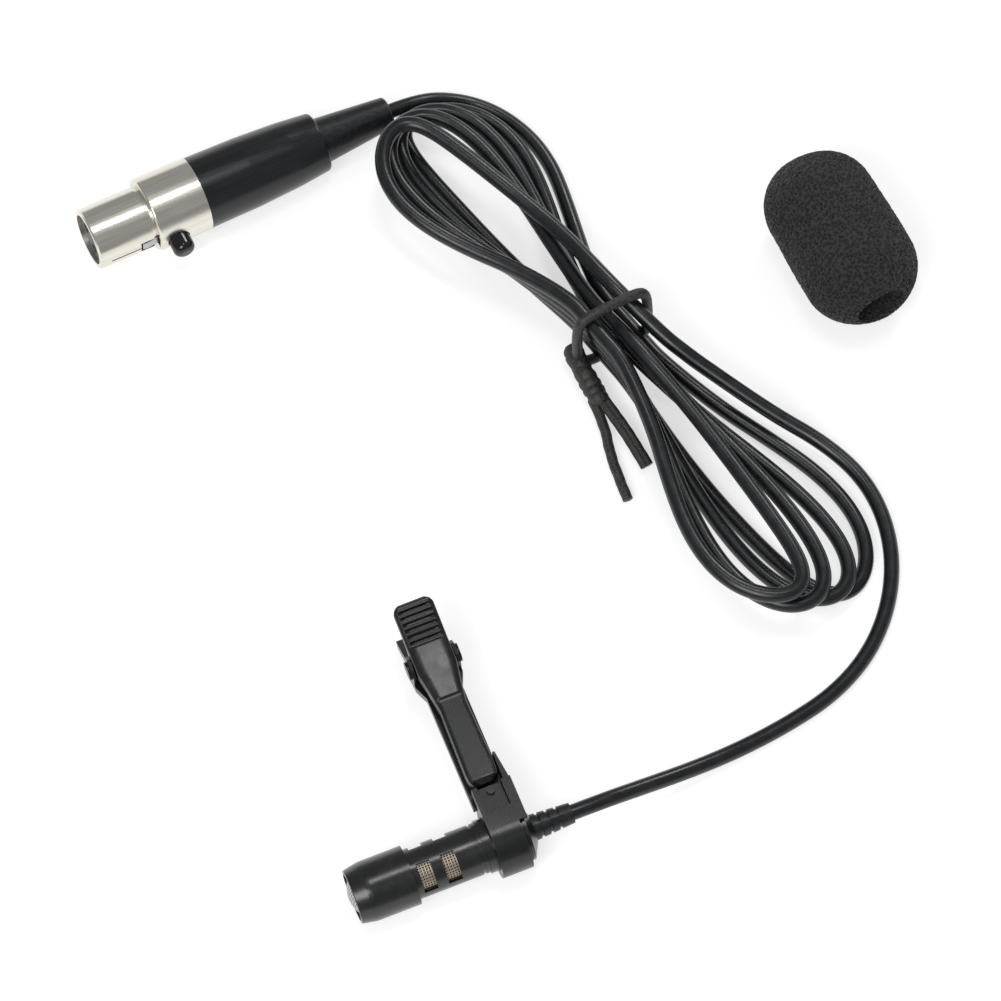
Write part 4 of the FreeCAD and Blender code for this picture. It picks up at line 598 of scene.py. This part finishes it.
ROWS, COLUMNS = 300, 320
x, r = foam_profile(ROWS)
turn = np.linspace(0, 2 * np.pi, COLUMNS, endpoint=False)
plain = np.stack([np.broadcast_to(x[:, None], (ROWS, COLUMNS)), r[:, None] * np.cos(turn),
                  r[:, None] * np.sin(turn)], axis=-1)
slope = np.gradient(np.stack([x, r], axis=-1), axis=0)
slope /= np.linalg.norm(slope, axis=1)[:, None]
outwards = np.stack([np.broadcast_to(-slope[:, 1:], (ROWS, COLUMNS)), slope[:, :1] * np.cos(turn),
                     slope[:, :1] * np.sin(turn)], axis=-1)
pore = cell_depth(plain)
swell = 0.12 * np.sin(0.31 * plain[..., 0] + 2 * turn) * np.minimum(1, r / 4)[:, None] - 0.12
foam_points = plain + outwards * (swell - 0.3 * pore)[..., None]
foam_points[r == 0] = foam_points[r == 0].mean(axis=1, keepdims=True)
cosine, sine = math.cos(FOAM_YAW), math.sin(FOAM_YAW)
foam_axes = np.array([[cosine, sine, 0], [-sine, cosine, 0], [0, 0, 1]])
foam_grid = (foam_points @ foam_axes + FOAM_AT) * MM
foam_grid[..., 2] = np.maximum(foam_grid[..., 2], 0)

# Dyed black foam, with painted shade: the cell walls are dark grey and the open cells are painted black, as
# if shade fell inside them. The cells of the real foam are about 0.4 mm and are drawn at 0.6 mm.
foam_stuff, tree, shader, place = finish("Black polyether foam", "#1b1b1c", 0.95, Sheen_Weight=0.15)
shaded_cell = add(tree, "TexVoronoi", {"Vector": place, "Scale": 1 / (0.42 * MM)})
shade = add(tree, "ValToRGB", {"Fac": shaded_cell.outputs["Distance"]},
            stops=[(0.25, "#0a0a0a"), (0.7, "#333335")])
lift = add(tree, "Bump", {"Height": shaded_cell.outputs["Distance"], "Distance": 0.15 * MM})
tree.links.new(shade.outputs["Color"], shader.inputs["Base Color"])
tree.links.new(lift.outputs["Normal"], shader.inputs["Normal"])
windscreen = skin("windscreen_foam", [foam_grid], foam_stuff, caps=False)
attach(windscreen, "microphone")
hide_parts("windscreen")

# Studio: a plain white floor under a grey sky, a wide soft lamp over the near left, a second
# over the far right and a small bright panel overhead that draws the long highlights on the
# cord and lights the lever's pad. The camera looks down from the front at 65 degrees.
floor_mesh = bpy.data.meshes.new("floor")
floor_mesh.from_pydata([(-4, -4, 0), (4, -4, 0), (4, 4, 0), (-4, 4, 0)], [], [(0, 1, 2, 3)])
floor = bpy.data.objects.new("floor", floor_mesh)
bpy.context.scene.collection.objects.link(floor)
floor.location.z = -0.00002
white, tree, shader, place = finish("White paper floor", "#c4c4c4", 0.9)
path = add(tree, "LightPath", {})
seen = add(tree, "Math", {0: path.outputs["Is Camera Ray"], 1: path.outputs["Is Glossy Ray"]},
           operation="MAXIMUM").outputs["Value"]
seen = add(tree, "Math", {0: seen, 1: path.outputs["Is Transmission Ray"]},
           operation="MAXIMUM").outputs["Value"]
glow = add(tree, "Math", {0: seen, 1: 0.62}, operation="MULTIPLY").outputs["Value"]
shader.inputs["Emission Color"].default_value = (1, 1, 1, 1)
tree.links.new(glow, shader.inputs["Emission Strength"])
floor_mesh.materials.append(white)

world = bpy.data.worlds.new("studio")
world.use_nodes = True
world.node_tree.nodes["Background"].inputs["Color"].default_value = linear("#f2f4f6")
world.node_tree.nodes["Background"].inputs["Strength"].default_value = 0.36
bpy.context.scene.world = world
for name, spot, width, power in (("near_left", (-0.35, -0.3, 0.55), 0.35, 2.5),
                                 ("far_right", (0.42, 0.4, 0.5), 0.2, 1.2),
                                 ("overhead", (0.013, 0.06, 0.6), 0.12, 0.5)):
    light = bpy.data.lights.new(name, "AREA")
    light.size = width
    light.energy = power
    lamp = bpy.data.objects.new(name, light)
    lamp.location = spot
    lamp.rotation_euler = (-Vector(spot)).to_track_quat("-Z", "Y").to_euler()
    bpy.context.scene.collection.objects.link(lamp)

ELEVATION, AZIMUTH, DISTANCE, FIELD = math.radians(65), math.radians(-21.6), 800 * MM, 139.2 * MM
LOOKS_AT = Vector((-12.8, 11.9, 0)) * MM
back = Vector((math.cos(ELEVATION) * math.sin(AZIMUTH), -math.cos(ELEVATION) * math.cos(AZIMUTH),
               math.sin(ELEVATION)))
camera = bpy.data.objects.new("camera", bpy.data.cameras.new("camera"))
camera.data.sensor_width = 36
camera.data.lens = 36 * DISTANCE / FIELD
camera.location = LOOKS_AT + back * DISTANCE
camera.rotation_euler = back.to_track_quat("Z", "Y").to_euler()
bpy.context.scene.collection.objects.link(camera)
bpy.context.scene.camera = camera
bpy.context.scene.view_settings.view_transform = "Standard"
